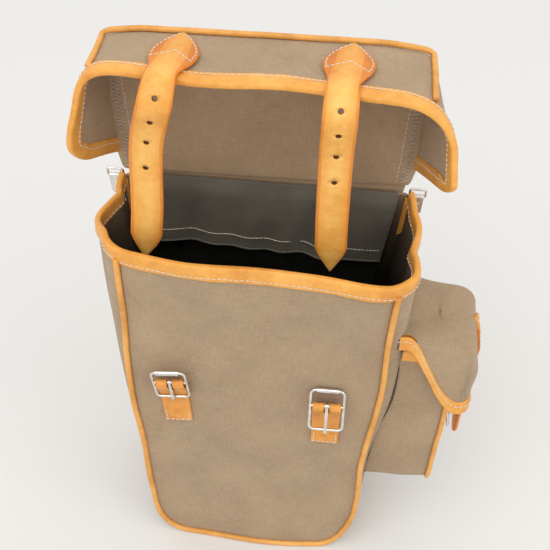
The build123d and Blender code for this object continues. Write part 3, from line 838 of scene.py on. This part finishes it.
def lid_top_rows():
    rows = []
    low = HINGE_Z + 2.5
    for i in steps(22):
        z = mix(low, HINGE_Z + LID_DEPTH - 0.4, i)
        if z < HINGE_Z + SHOULDER[0]:
            half = mix(LID_HALF[0], LID_HALF[1], (z - HINGE_Z) / SHOULDER[0])
        else:
            half = mix(LID_HALF[1], LID_HALF[2], (z - HINGE_Z - SHOULDER[0]) / (LID_DEPTH - SHOULDER[0]))
        corner = max(z - HINGE_Z - LID_DEPTH + 13.0, 0.0)
        half -= 0.3 + 13.0 - math.sqrt(max(169.0 - corner * corner, 0.0))
        row = []
        for j in steps(34):
            x = mix(-half, half, j)
            crown = 2.2 * (1 - (x / half) ** 2) * math.sin(math.pi * i)
            p = lid_warp(Vector((x, BACK_Y, z)))
            row.append(p + Vector((0, crown - 1.0, 0)))
        rows.append(row)
    return rows


def lid_edges():
    """Free edge: up the left rear end, along the skirt, and down the right rear end."""
    left = []
    for v in [mix(1.5, SKIRT - 20, t) for t in steps(9)[:-1]]:
        left.append((v, 0.0, v, 0.012))
    for angle in [RIGHT_ANGLE * t for t in steps(10)]:
        v = SKIRT - 20 + 20 * math.sin(angle)
        k = 0.045 * (1 - math.cos(angle))
        left.append((v, k, v - 5 * math.sin(angle), k + 0.012 * math.cos(angle)))
    path = left + [(SKIRT, k, SKIRT - 5, k) for k in [mix(0.045, 0.955, t) for t in steps(104)][1:-1]]
    path += [(v, 1 - k, v1, 1 - k1) for v, k, v1, k1 in reversed(left)]
    return [(lid_point(v, k), lid_point(v1, k1)) for v, k, v1, k1 in path]


def zigzag(points, ups, half, step):
    """A thread that runs to and fro across a line."""
    out = []
    shares = resample(points, step)
    for n, share in enumerate(shares):
        i = min(int(share), len(points) - 2)
        along = (points[i + 1] - points[i]).normalized()
        up = at_share(ups, share)
        side = along.cross(up).normalized()
        out.append(at_share(points, share) + side * (half if n % 2 else -half) + up * 0.3)
    return out


def lid():
    top = sheet("lid_top_canvas", lid_top_rows(), WALL, [CANVAS, LIT_CANVAS_INSIDE], inside=Vector((0, 0, 410)))
    finish_piece(top, "lid", ("lid_top",))
    rows = []
    for v in [mix(0.2, SKIRT, 1 - (1 - t) ** 1.5) for t in steps(18)]:
        first = row_start(v)
        rows.append([lid_point(v, mix(first, 1 - first, k)) for k in steps(100)])
    skirt = sheet("lid_skirt_canvas", rows, WALL, [CANVAS, LIT_CANVAS_INSIDE], inside=Vector((0, 30, 400)))
    finish_piece(skirt, "lid", ("lid_left_skirt", "lid_front_skirt", "lid_right_skirt"))
    reference = Vector((0, 30, 400))
    edge = flipped(surface_edge(lid_edges()), reference)
    leather_band = folded_leather("lid_edge_leather", edge, BINDING_H, LEATHER_M, wave=0.5)
    finish_piece(leather_band, "lid", ("lid_binding",))
    edge_stitches("lid_edge_stitching", edge, "lid")
    seam = [lid_point(v, 0.222) for v in [mix(SKIRT - 13, 0, t) for t in steps(14)]]
    seam += [lid_point(0.0, k) for k in [mix(0.235, 0.765, t) for t in steps(60)]]
    seam += [lid_point(v, 0.778) for v in [mix(0, SKIRT - 13, t) for t in steps(14)]]
    seam = [p + Vector((math.copysign(0.8, p.x) if abs(p.x) > 100 else 0, 0, 1.6)) for p in seam]
    finish_piece(tube("lid_piping_leather", seam, 2.3, PIPING_M), "lid", ("lid_piping",))
    lid_inside()


def lid_inside():
    """Overlocked seam allowances and stitch lines on the inside of the lid."""
    runs, threads = [], []
    for sign in (-1, 1):
        base = [Vector((sign * mix(111, 117, t), BACK_Y, mix(HINGE_Z + 8, HINGE_Z + 118, t)))
                for t in steps(30)]
        base = [lid_warp(p) + Vector((0, -4.2, 0)) for p in base]
        ups = [Vector((0, -1, 0))] * len(base)
        threads.append(zigzag(base, ups, 2.6, 1.7))
        runs.append(([p + Vector((-sign * 5.5, 0.9, 0)) for p in base], ups))
    for n, points in enumerate(threads):
        name = ("left", "right")[n] + "_overlock"
        finish_piece(tube(name, points, 0.42, OVERLOCK, 6), "lid")
    finish_piece(stitches("lid_inner_stitching", runs, OVERLOCK), "lid")


def hinge_strip():
    """Canvas that joins the back panel to the lid's top."""
    rows = []
    for k in steps(9):
        z = mix(331, HINGE_Z + 9, k)
        half = mix(111, 114.5, k)
        row = []
        for j in steps(34):
            x = mix(-half, half, j)
            row.append(Vector((x, BACK_Y + 0.9 - 0.6 * hump(z, HINGE_Z, 5), z)))
        rows.append(row)
    o = sheet("hinge_canvas", rows, 1.6, [CANVAS, LIT_CANVAS_INSIDE])
    finish_piece(o, None)
    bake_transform(o)


# ---------------------------------------------------------------- straps
class Ribbon:
    """A strap along stations of (x, y, z, half width), with its cross-direction near across."""

    def __init__(self, stations, count, across):
        data = spline(stations, count)
        self.points = [Vector(d[:3]) for d in data]
        self.halves = [max(d[3], 0.4) for d in data]
        self.sides, self.normals = [], []
        for i in range(count):
            along = self.points[min(i + 1, count - 1)] - self.points[max(i - 1, 0)]
            along.normalize()
            side = (across - along * across.dot(along)).normalized()
            self.sides.append(side)
            self.normals.append(along.cross(side))
        self.lengths = lengths(self.points)

    def find(self, length):
        """Index of the last point before a length, and the share of the way to the next."""
        i = 0
        while i < len(self.lengths) - 2 and self.lengths[i + 1] < length:
            i += 1
        span = self.lengths[i + 1] - self.lengths[i]
        return i, ((length - self.lengths[i]) / span if span else 0.0)

    def at(self, length, across, lift):
        """Point at a length along the ribbon, a distance across and off its middle surface."""
        i, t = self.find(length)
        point = self.points[i].lerp(self.points[i + 1], t)
        side = self.sides[i].lerp(self.sides[i + 1], t).normalized()
        normal = self.normals[i].lerp(self.normals[i + 1], t).normalized()
        return point + side * across + normal * lift, normal

    def half_at(self, length):
        i, t = self.find(length)
        return mix(self.halves[i], self.halves[i + 1], t)


ROUNDED = ((-1, -0.25), (-1, 0.25), (-0.9, 0.5), (-0.45, 0.5), (0, 0.5), (0.45, 0.5), (0.9, 0.5),
           (1, 0.25), (1, -0.25), (0.9, -0.5), (0.45, -0.5), (0, -0.5), (-0.45, -0.5), (-0.9, -0.5))


def strap_mesh(name, ribbon, thick, material):
    bm = bmesh.new()
    uv = bm.loops.layers.uv.new("weave")
    rings = []
    for i, p in enumerate(ribbon.points):
        ring = []
        for u, n in ROUNDED:
            edge = u * ribbon.halves[i]
            if abs(u) == 0.9:
                edge = math.copysign(max(ribbon.halves[i] - 0.8, 0), u)
            q = p + ribbon.sides[i] * edge + ribbon.normals[i] * (n * thick)
            ring.append(bm.verts.new(q * MM))
        rings.append(ring)

    def place(k, row):
        u = ROUNDED[k % len(ROUNDED)][0]
        return u * ribbon.halves[row] / STRAP_HALF, ribbon.lengths[row] * MM

    skin(bm, rings, uv, place)
    bmesh.ops.recalc_face_normals(bm, faces=bm.faces[:])
    return new_object(name, bm, [material])


def punch(o, centres, normals, radius):
    """Cut real holes through a strap."""
    bm = bmesh.new()
    for centre, normal in zip(centres, normals):
        turn = Vector((0, 0, 1)).rotation_difference(normal).to_matrix().to_4x4()
        place = Matrix.Translation(centre * MM) @ turn
        bmesh.ops.create_cone(bm, cap_ends=True, segments=20, radius1=radius * MM, radius2=radius * MM,
                              depth=0.02, matrix=place)
    # The cutter's dark material colours the hole walls: painted shade.
    o.data.materials.append(HOLE_SHADE_M)
    cutter = new_object("cutter", bm, [HOLE_SHADE_M])
    cut = o.modifiers.new("holes", "BOOLEAN")
    cut.operation = "DIFFERENCE"
    cut.solver = "EXACT"
    cut.object = cutter
    depsgraph = bpy.context.evaluated_depsgraph_get()
    mesh = bpy.data.meshes.new_from_object(o.evaluated_get(depsgraph))
    o.modifiers.clear()
    o.data = mesh
    bpy.data.objects.remove(cutter)


def border_runs(ribbon, start, end, inset, lift, count=90):
    """Stitch lines along both edges of a ribbon between two lengths."""
    runs = []
    for sign in (-1, 1):
        points, ups = [], []
        for t in steps(count):
            length = mix(start, end, t)
            half = max(ribbon.half_at(length) - inset, 0.0)
            p, n = ribbon.at(length, sign * half, lift)
            points.append(p)
            ups.append(n if lift > 0 else -n)
        runs.append((points, ups))
    return runs


LEFT_STRAP = (
    (-59.5, 57.5, 475.6, 0.4), (-60, 52, 475.7, 6.5), (-60.6, 44, 475.8, 12.4), (-61.2, 36, 475.9, 16.2),
    (-61.8, 29, 476.0, 17.6), (-63, 21, 476.2, 16.4), (-64.6, 13, 476.5, 13.2), (-66, 6, 477.0, 11.3),
    (-66.6, -1, 477.2, 11.2), (-66.8, -8, 475.0, 11.8), (-67.6, -14, 469.5, 12.2), (-69.5, -16.8, 461, 12.3),
    (-72.5, -15, 450, 12.3), (-76, -11.5, 437, 12.3), (-79, -9, 420, 12.3), (-80.8, -7.5, 400, 12.3),
    (-82, -7, 378, 12.3), (-83.2, -7, 360, 12.3), (-84.8, -7, 345, 12.3), (-85.8, -7, 336, 12.0),
    (-86.7, -7, 328, 9.0), (-87.7, -7, 320, 4.8), (-88.6, -7, 312.5, 0.5),
)
RIGHT_STRAP = (
    (63.0, 57.5, 475.6, 0.4), (62.4, 52, 475.7, 6.5), (61.6, 44, 475.8, 12.8), (61, 36, 475.9, 17.2),
    (60.5, 29, 476.0, 18.4), (59.6, 21, 476.2, 17), (58.6, 13, 476.5, 13.4), (57.6, 6, 477.0, 11.4),
    (57.2, -1, 477.2, 11.2), (57.2, -8, 475.0, 11.8), (57.1, -14, 469.5, 12.2), (57, -16.8, 461, 12.3),
    (56.8, -15, 450, 12.3), (56.4, -11.5, 437, 12.3), (56.2, -9, 420, 12.3), (56.2, -7.5, 400, 12.3),
    (56.4, -7, 378, 12.3), (56.6, -7, 360, 12.3), (57, -7, 345, 12.3), (57.3, -7, 336, 12.0),
    (57.5, -7, 328, 9.0), (57.7, -7, 320, 4.8), (57.9, -7, 312.5, 0.5),
)
HOLE_LENGTHS = (76.0, 96.0, 118.0, 143.0)


def closing_strap(side, stations):
    ribbon = Ribbon(stations, 120, Vector((1, 0, 0)))
    if ribbon.normals[10].z < 0:
        ribbon.normals = [-n for n in ribbon.normals]
    o = strap_mesh(f"{side}_strap_leather", ribbon, STRAP_T, STRAP_M)
    found = [ribbon.at(length, 0, 0) for length in HOLE_LENGTHS]
    punch(o, [p for p, _ in found], [n for _, n in found], 2.1)
    finish_piece(o, None, (f"{side}_strap_anchor", f"{side}_strap"))
    runs = border_runs(ribbon, 3.5, 34, 2.2, STRAP_T / 2 + 0.1, 50)
    peak, foot = 26.0, 37.0
    for sign in (-1, 1):
        points, ups = [], []
        for t in steps(10):
            p, n = ribbon.at(mix(peak, foot, t), sign * mix(0.5, 15.5, t), STRAP_T / 2 + 0.1)
            points.append(p)
            ups.append(n)
        runs.append((points, ups))
    sewn = stitches(f"{side}_anchor_stitching", runs, THREAD)
    finish_piece(sewn, "lid")
    x = stations[9][0]
    start, end = (x * MM, -2.5 * MM, 476 * MM), (x * MM, -2.5 * MM, 464 * MM)
    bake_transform(o)
    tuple(start)
    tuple(end)


# ---------------------------------------------------------------- buckles
class Local:
    """Plane that a buckle stands on: x across, s up along it, n out of it."""

    def __init__(self, origin, across, up):
        self.origin, self.x, self.s = Vector(origin), Vector(across), Vector(up).normalized()
        self.n = self.x.cross(self.s)

    def at(self, x, s, n):
        return self.origin + self.x * x + self.s * s + self.n * n


def front_local(side, turn):
    z = BUCKLE_Z[side]
    up = Vector((0, front_y(1) - front_y(0), 1)).normalized()
    a = math.radians(turn)
    across = Vector((1, 0, 0)) * math.cos(a) + up * math.sin(a)
    new_up = up * math.cos(a) - Vector((1, 0, 0)) * math.sin(a)
    return Local((BUCKLE_X[side], front_y(z), z), across, new_up)


def pocket_x(z):
    return POCKET_FACE_X + POCKET_FLARE * z


def tab_path():
    """Middle of the folded leather, from the front of its foot over the bar to the foot's back."""
    front = [(TAB_END, 2.4), (TAB_END + 4, 2.45), (TAB_BEND, 2.45), (-30, 2.5), (TAB_RISE - 2, 2.9)]
    front += [(-12, 5.4), (-6.5, 9.2), (-3, 11.2)]
    loop = [(LOOP_R * math.sin(a), BAR_N + LOOP_R * math.cos(a)) for a in
            [math.radians(d) for d in (-8, 20, 50, 80, 110, 140, 170, 188)]]
    back = [(-5, 5.6), (-11, 3.3), (TAB_RISE - 2, 1.1), (-30, 0.85), (TAB_BEND, 0.8), (TAB_END, 0.8)]
    return front + loop + back


def buckle_leather(name, place):
    path = tab_path()
    columns = (-TAB_HALF, -10.6, -8, -5, -2.1, 2.1, 5, 8, 10.6, TAB_HALF)
    rows = []
    for s, n in path:
        row = []
        for x in columns:
            swell = 0.9 * hump(abs(x), 6.5, 4) * hump(s, 0, 9) * (1 if n > BAR_N - 3 else 0)
            waist = -0.5 * hump(s, -9, 6) * (1 if abs(x) > 10 else 0)
            row.append(place.at(x + math.copysign(waist, x), s + swell * 0.4, n + swell))
        rows.append(row)

    def skip(i, j):
        """The slot that the prong stands in: the middle column, over the bar."""
        return 5 <= i < 13 and j == 4

    o = sheet(f"{name}_tab_leather", rows, 1.5, [TAB_M], inside=place.at(0, -25, 1.6), skip=skip)
    o.modifiers["thickness"].offset = 0
    finish_piece(o, None, (f"{name}_tab_foot", f"{name}_buckle_tab"))
    start, end = place.at(0, TAB_BEND - 2, 3.2) * MM, place.at(0, TAB_BEND + 2, 3.2) * MM
    tuple(start)
    tuple(end)
    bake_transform(o)
    runs = []
    lift = 3.3
    corners = [(-9.6, TAB_BEND + 1), (-9.6, TAB_END + 2.4), (9.6, TAB_END + 2.4), (9.6, TAB_BEND + 1)]
    for (x0, s0), (x1, s1) in zip(corners, corners[1:]):
        points = [place.at(mix(x0, x1, t), mix(s0, s1, t), lift) for t in steps(8)]
        runs.append((points, [place.n] * 8))
    finish_piece(stitches(f"{name}_foot_stitching", runs, THREAD), "bag")


# ---------------------------------------------------------------- side pocket
def pocket_front(z):
    return front_y(z) + POCKET_SET_BACK


def pocket_warp(p):
    x, y, z = p
    out = smooth(112, 163, x)
    drift = noise.noise_vector(Vector(p) / 34.0) * 1.6 + noise.noise_vector(Vector(p) / 13.0) * 0.5
    level = math.sin(math.pi * min(max((z - 88) / 175.0, 0.0), 1.0))
    dy = -2.5 * level * smooth(20, -40, y) * out if y < 20 else 0
    sag = -2.0 * hump(z, 90, 14) * math.sin(x / 9.0) * out
    return Vector((x + drift.x, y + dy + drift.y, z + sag + drift.z * 0.5))


def pocket_outline(z_top, arcs=6, sides=16, bottom=12):
    """U path of the pocket in y and z: front edge down, under the pocket, back edge up."""
    low, radius = POCKET_Z[0], 12.0
    path = [Vector((pocket_front(z), z)) for z in [mix(z_top, low + radius, t) for t in steps(sides)]]
    corner = Vector((pocket_front(low), low))
    path += bend_points(path[-1], corner, corner + Vector((radius, 0)), arcs)[1:]
    back = Vector((POCKET_BACK_Y, low))
    end = back - Vector((radius, 0))
    path += [path[-1].lerp(end, t) for t in steps(bottom)[1:]]
    path += bend_points(end, back, back + Vector((0, radius)), arcs)[1:]
    path += [Vector((POCKET_BACK_Y, mix(low + radius, z_top, t))) for t in steps(sides)[1:]]
    return path


def body_half(y, z):
    """How far the compartment's right side stands out at a place on it."""
    behind = corner_radius(z)
    t = min(max((BACK_Y - y) / (BACK_Y - front_y(z) - behind), 0.0), 1.0)
    x = wall_x(t, z)
    if y < front_y(z) + behind:
        drop = front_y(z) + behind - y
        x -= behind - math.sqrt(max(behind * behind - drop * drop, 0.0))
    return body_warp(Vector((x, y, z))).x


def pocket_ring(z):
    """Pocket's outline at a height: out along its front, back along its face and in again."""
    front, face = pocket_front(z), pocket_x(z)
    ring = [Vector((mix(body_half(front, z) + 2, face - 6, t), front, z)) for t in steps(8)]
    ring += [Vector((face - 1.5, front + 1.5, z))]
    ring += [Vector((face, mix(front + 6, POCKET_BACK_Y - 6, t), z)) for t in steps(12)]
    ring += [Vector((face - 1.5, POCKET_BACK_Y - 1.5, z))]
    ring += [Vector((mix(face - 6, body_half(POCKET_BACK_Y, z) + 2, t), POCKET_BACK_Y, z)) for t in steps(8)]
    return [pocket_warp(p) for p in ring]


def pocket():
    path = pocket_outline(POCKET_Z[1])
    rows = []
    for k in steps(9):
        row = []
        for p in path:
            start, end = body_half(p.x, p.y) - 0.5, pocket_x(p.y) - 1.0
            row.append(pocket_warp(Vector((mix(start, end, k), p.x, p.y))))
        rows.append(row)
    middle = Vector((135, 0, 175))
    strip = sheet("pocket_strip_canvas", rows, WALL, [CANVAS, LINING], inside=middle)
    finish_piece(strip, "bag", ("pocket_side_strip",))
    # A thin black tube along the join of the pocket strip and the body: painted shade in the seam.
    seam = [pocket_warp(Vector((body_half(p.x, p.y) + 0.6, p.x, p.y))) for p in path if p.y < 236]
    finish_piece(tube("pocket_seam_shade", seam, 0.35, LINING, 6), "bag")
    half = len(path) // 2
    count = 20
    rows = []
    for i in range(half):
        a, b = path[i], path[len(path) - 1 - i]
        row = []
        for t in steps(count):
            y, z = mix(a.x, b.x, t), mix(a.y, b.y, t)
            crown = 3.0 * math.sin(math.pi * t) * math.sin(math.pi * min(i / half, 1))
            row.append(pocket_warp(Vector((pocket_x(z) + crown * 0.4, y, z))))
        rows.append(row)
    face = sheet("pocket_face_canvas", rows, WALL, [CANVAS, LINING], inside=middle)
    finish_piece(face, "bag", ("pocket_face",))
    points = [pocket_warp(Vector((pocket_x(p.y) - 1.0, p.x, p.y))) for p in path]
    away = [Vector((1.0, 0.9 if p.y > 0 else -0.9, 1.6 if p.z < 100 else 0)) for p in points]
    points = [p + a for p, a in zip(points, away)]
    finish_piece(tube("pocket_piping_leather", points, 2.1, PIPING_M), "bag",
                 ("pocket_piping",))
    columns = list(zip(*[pocket_ring(POCKET_Z[1] - depth) for depth in (0.0, 6.0)]))
    edge = flipped(surface_edge(columns), Vector((135, 0, 245)))
    o = folded_leather("pocket_mouth_leather", edge, 11.0, LEATHER_M, wave=0.3)
    finish_piece(o, "bag", ("pocket_binding",))


def flap_edge_z(x):
    """Free edge of the flap's sides: level by the hinge, then dropping in an S to its outer side."""
    return 260.0 - 65.0 * smooth(122, 171, x)


def flap_warp(p):
    x, y, z = p
    out = smooth(116, 180, x)
    high = smooth(235, 268, z)
    drift = noise.noise_vector(Vector(p) / 30.0) * 1.2
    bulge = 2.5 * hump(z, 235, 14) * smooth(150, 178, x)
    sag = -4.5 * out * high + 3.0 * hump(x, 128, 14) * high
    dent = -3.5 * hump(y + 16 - 0.5 * (x - 120), 0, 10) * smooth(116, 126, x) * (1 - smooth(140, 168, x))
    lean = -2.0 * out * (1 - high)
    return Vector((x + bulge + drift.x, y + drift.y + lean, z + sag + dent * high + drift.z * 0.8))


def flap_unrolled(p):
    """Where a point of the flap lies on the flat cloth, so that its weave runs one way."""
    drop = max(FLAP_TOP - 3 - p.z, 0.0)
    if p.x > FLAP_X - 6:
        return p.x + drop, p.y
    return p.x, p.y - drop if p.y < 0 else p.y + drop


def flap_plan(k, z):
    """Plan of the flap's skirt: along the front from the hinge, round the outside and back."""
    front, back = pocket_front(z) - FLAP_MARGIN, POCKET_BACK_Y + FLAP_MARGIN - 2
    near, far = 11.0, 15.0
    if k < 0.33:
        return Vector((mix(body_half(front + 3, z) + 1, FLAP_X - near, k / 0.33), front, z))
    if k < 0.40:
        a = RIGHT_ANGLE * (k - 0.33) / 0.07
        return Vector((FLAP_X - near + near * math.sin(a), front + near * (1 - math.cos(a)), z))
    if k < 0.60:
        return Vector((FLAP_X, mix(front + near, back - far, (k - 0.40) / 0.20), z))
    if k < 0.67:
        a = RIGHT_ANGLE * (0.67 - k) / 0.07
        return Vector((FLAP_X - far + far * math.sin(a), back - far * (1 - math.cos(a)), z))
    return Vector((mix(FLAP_X - far, body_half(back, z) + 1, (k - 0.67) / 0.33), back, z))


def flap_point(k, z):
    return flap_warp(flap_plan(k, z))


def pocket_flap():
    middle = Vector((140, 5, 225))
    ks = steps(96)
    brow = FLAP_TOP - 3
    rows = []
    for t in steps(8)[:-1]:
        row = []
        for k in ks:
            share = min(k, 1 - k) / 0.33
            inner_x = min(mix(body_half(2, FLAP_TOP), FLAP_X - 13, share), FLAP_X - 32)
            inner = Vector((inner_x, 2, FLAP_TOP + 1))
            place = inner.lerp(flap_plan(k, brow), t)
            crown = Vector((0, 0, 3.0 * (1 - t * t) * min(share, 1.0)))
            row.append(flap_warp(place + crown))
        rows.append(row)
    for t in steps(13):
        rows.append([flap_point(k, mix(brow, flap_edge_z(flap_plan(k, brow).x), t)) for k in ks])
    o = sheet("pocket_flap_canvas", rows, WALL, [CANVAS, LINING], inside=middle, weld=True,
              flat=flap_unrolled)
    finish_piece(o, "pocket_flap", ("pocket_flap",))
    columns = []
    for k in steps(110):
        z = flap_edge_z(flap_plan(k, brow).x)
        columns.append((flap_point(k, z), flap_point(k, z + 5)))
    edge = flipped(surface_edge(columns), middle)
    band = folded_leather("flap_edge_leather", edge, 12.5, LEATHER_M, wave=0.4)
    finish_piece(band, "pocket_flap", ("pocket_flap_binding",))
    edge_stitches("flap_edge_stitching", edge, "pocket_flap", depth=8.6, both_faces=False)


def pocket_strap():
    y = POCKET_STRAP_Y
    stations = (
        (179, 262, 0.4), (182.5, 257, 9), (183.4, 250, 14.5), (184.4, 243, 17), (184.8, 236, 16.6),
        (184.6, 226, 13.5), (184.0, 214, 11.8), (184.0, 204, 12), (184.4, 196, 12.3), (184.0, 180, 12.3),
        (183.8, 160, 12.3), (183.5, 140, 12.3), (183.5, 124, 12.0), (183.5, 114, 7), (183.5, 110, 0.6),
    )
    ribbon = Ribbon([(x, y, z, half) for x, z, half in stations], 90, Vector((0, 1, 0)))
    if ribbon.normals[40].x < 0:
        ribbon.normals = [-n for n in ribbon.normals]
    o = strap_mesh("pocket_strap_leather", ribbon, STRAP_T, STRAP_M)
    found = [ribbon.at(length, 0, 0) for length in (92, 117)]
    punch(o, [p for p, _ in found], [n for _, n in found], 2.1)
    finish_piece(o, None, ("pocket_strap_anchor", "pocket_strap"))
    runs = border_runs(ribbon, 3.5, 52, 2.2, STRAP_T / 2 + 0.1, 40)
    finish_piece(stitches("pocket_anchor_stitching", runs, THREAD), "pocket_flap")
    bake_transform(o)


# ---------------------------------------------------------------- metal and other kept CAD nodes
def kept_nodes():
    names = {
        METAL: ["ring_rivets", "right_ring_clip", "left_ring_clip", "right_hook", "left_hook",
                "hook_rivets", "left_ring", "right_ring"],
        LEATHER_M: ["left_ring_ear", "right_ring_ear"],
        LINING: ["back_board"],
    }
    for side in ("left", "right", "pocket"):
        names[METAL] += [f"{side}_buckle_{piece}" for piece in ("frame", "roller", "prong")]
    for material, nodes in names.items():
        for name in nodes:
            o = frame["nodes"][name] if isinstance(frame["nodes"], dict) else bpy.data.objects[name]
            o.data.materials.clear()
            o.data.materials.append(material)


# ---------------------------------------------------------------- stage
def floor():
    bpy.ops.mesh.primitive_plane_add(size=12)
    o = bpy.context.object
    o.name = "floor"
    material, tree, bsdf = shader("floor_paper", 0.9, specular=0.1)
    bsdf.inputs["Base Color"].default_value = (0.74, 0.738, 0.732, 1)
    o.data.materials.append(material)


def lights():
    world = bpy.data.worlds.new("studio")
    world.use_nodes = True
    world.node_tree.nodes["Background"].inputs[0].default_value = (1.0, 0.985, 0.96, 1)
    world.node_tree.nodes["Background"].inputs[1].default_value = 0.95
    bpy.context.scene.world = world
    for name, place, size, power, colour in (
        ("key", (-0.9, -1.9, 3.8), 3.0, 50, (1, 0.985, 0.96)),
        ("fill", (2.4, -1.4, 2.9), 2.4, 20, (1, 0.985, 0.96)),
    ):
        data = bpy.data.lights.new(name, "AREA")
        data.size = size
        data.energy = power
        data.color = colour
        o = bpy.data.objects.new(name, data)
        o.location = place
        o.rotation_euler = (Vector((0, 0, 0.2)) - Vector(place)).to_track_quat("-Z", "Y").to_euler()
        bpy.context.collection.objects.link(o)


CAMERA = Vector((57.89, -544.77, 836.61))
YAW, PITCH, ROLL = -0.08, 0.78, 0.02
LENS = 62.57


def camera():
    forward = Vector((math.sin(YAW) * math.cos(PITCH), math.cos(YAW) * math.cos(PITCH), -math.sin(PITCH)))
    right = Vector((math.cos(YAW), -math.sin(YAW), 0))
    up = right.cross(forward)
    across = right * math.cos(ROLL) + up * math.sin(ROLL)
    over = up * math.cos(ROLL) - right * math.sin(ROLL)
    data = bpy.data.cameras.new("camera")
    data.lens = LENS
    data.sensor_width = 36
    o = bpy.data.objects.new("camera", data)
    turn = Matrix((across, over, -forward)).transposed()
    o.matrix_world = Matrix.Translation(CAMERA * MM) @ turn.to_4x4()
    bpy.context.collection.objects.link(o)
    bpy.context.scene.camera = o


camera()
compartment()
weather_flap()
lid()
hinge_strip()
closing_strap("left", LEFT_STRAP)
closing_strap("right", RIGHT_STRAP)
buckle_leather("left", front_local(0, BUCKLE_TURN))
buckle_leather("right", front_local(1, 0.0))
pocket_place = Local((pocket_x(POCKET_BUCKLE_Z), POCKET_STRAP_Y, POCKET_BUCKLE_Z), (0, 1, 0),
                     (POCKET_FLARE, 0, 1))
buckle_leather("pocket", pocket_place)
pocket()
pocket_flap()
pocket_strap()
kept_nodes()
floor()
lights()
bpy.context.scene.view_settings.view_transform = "Standard"
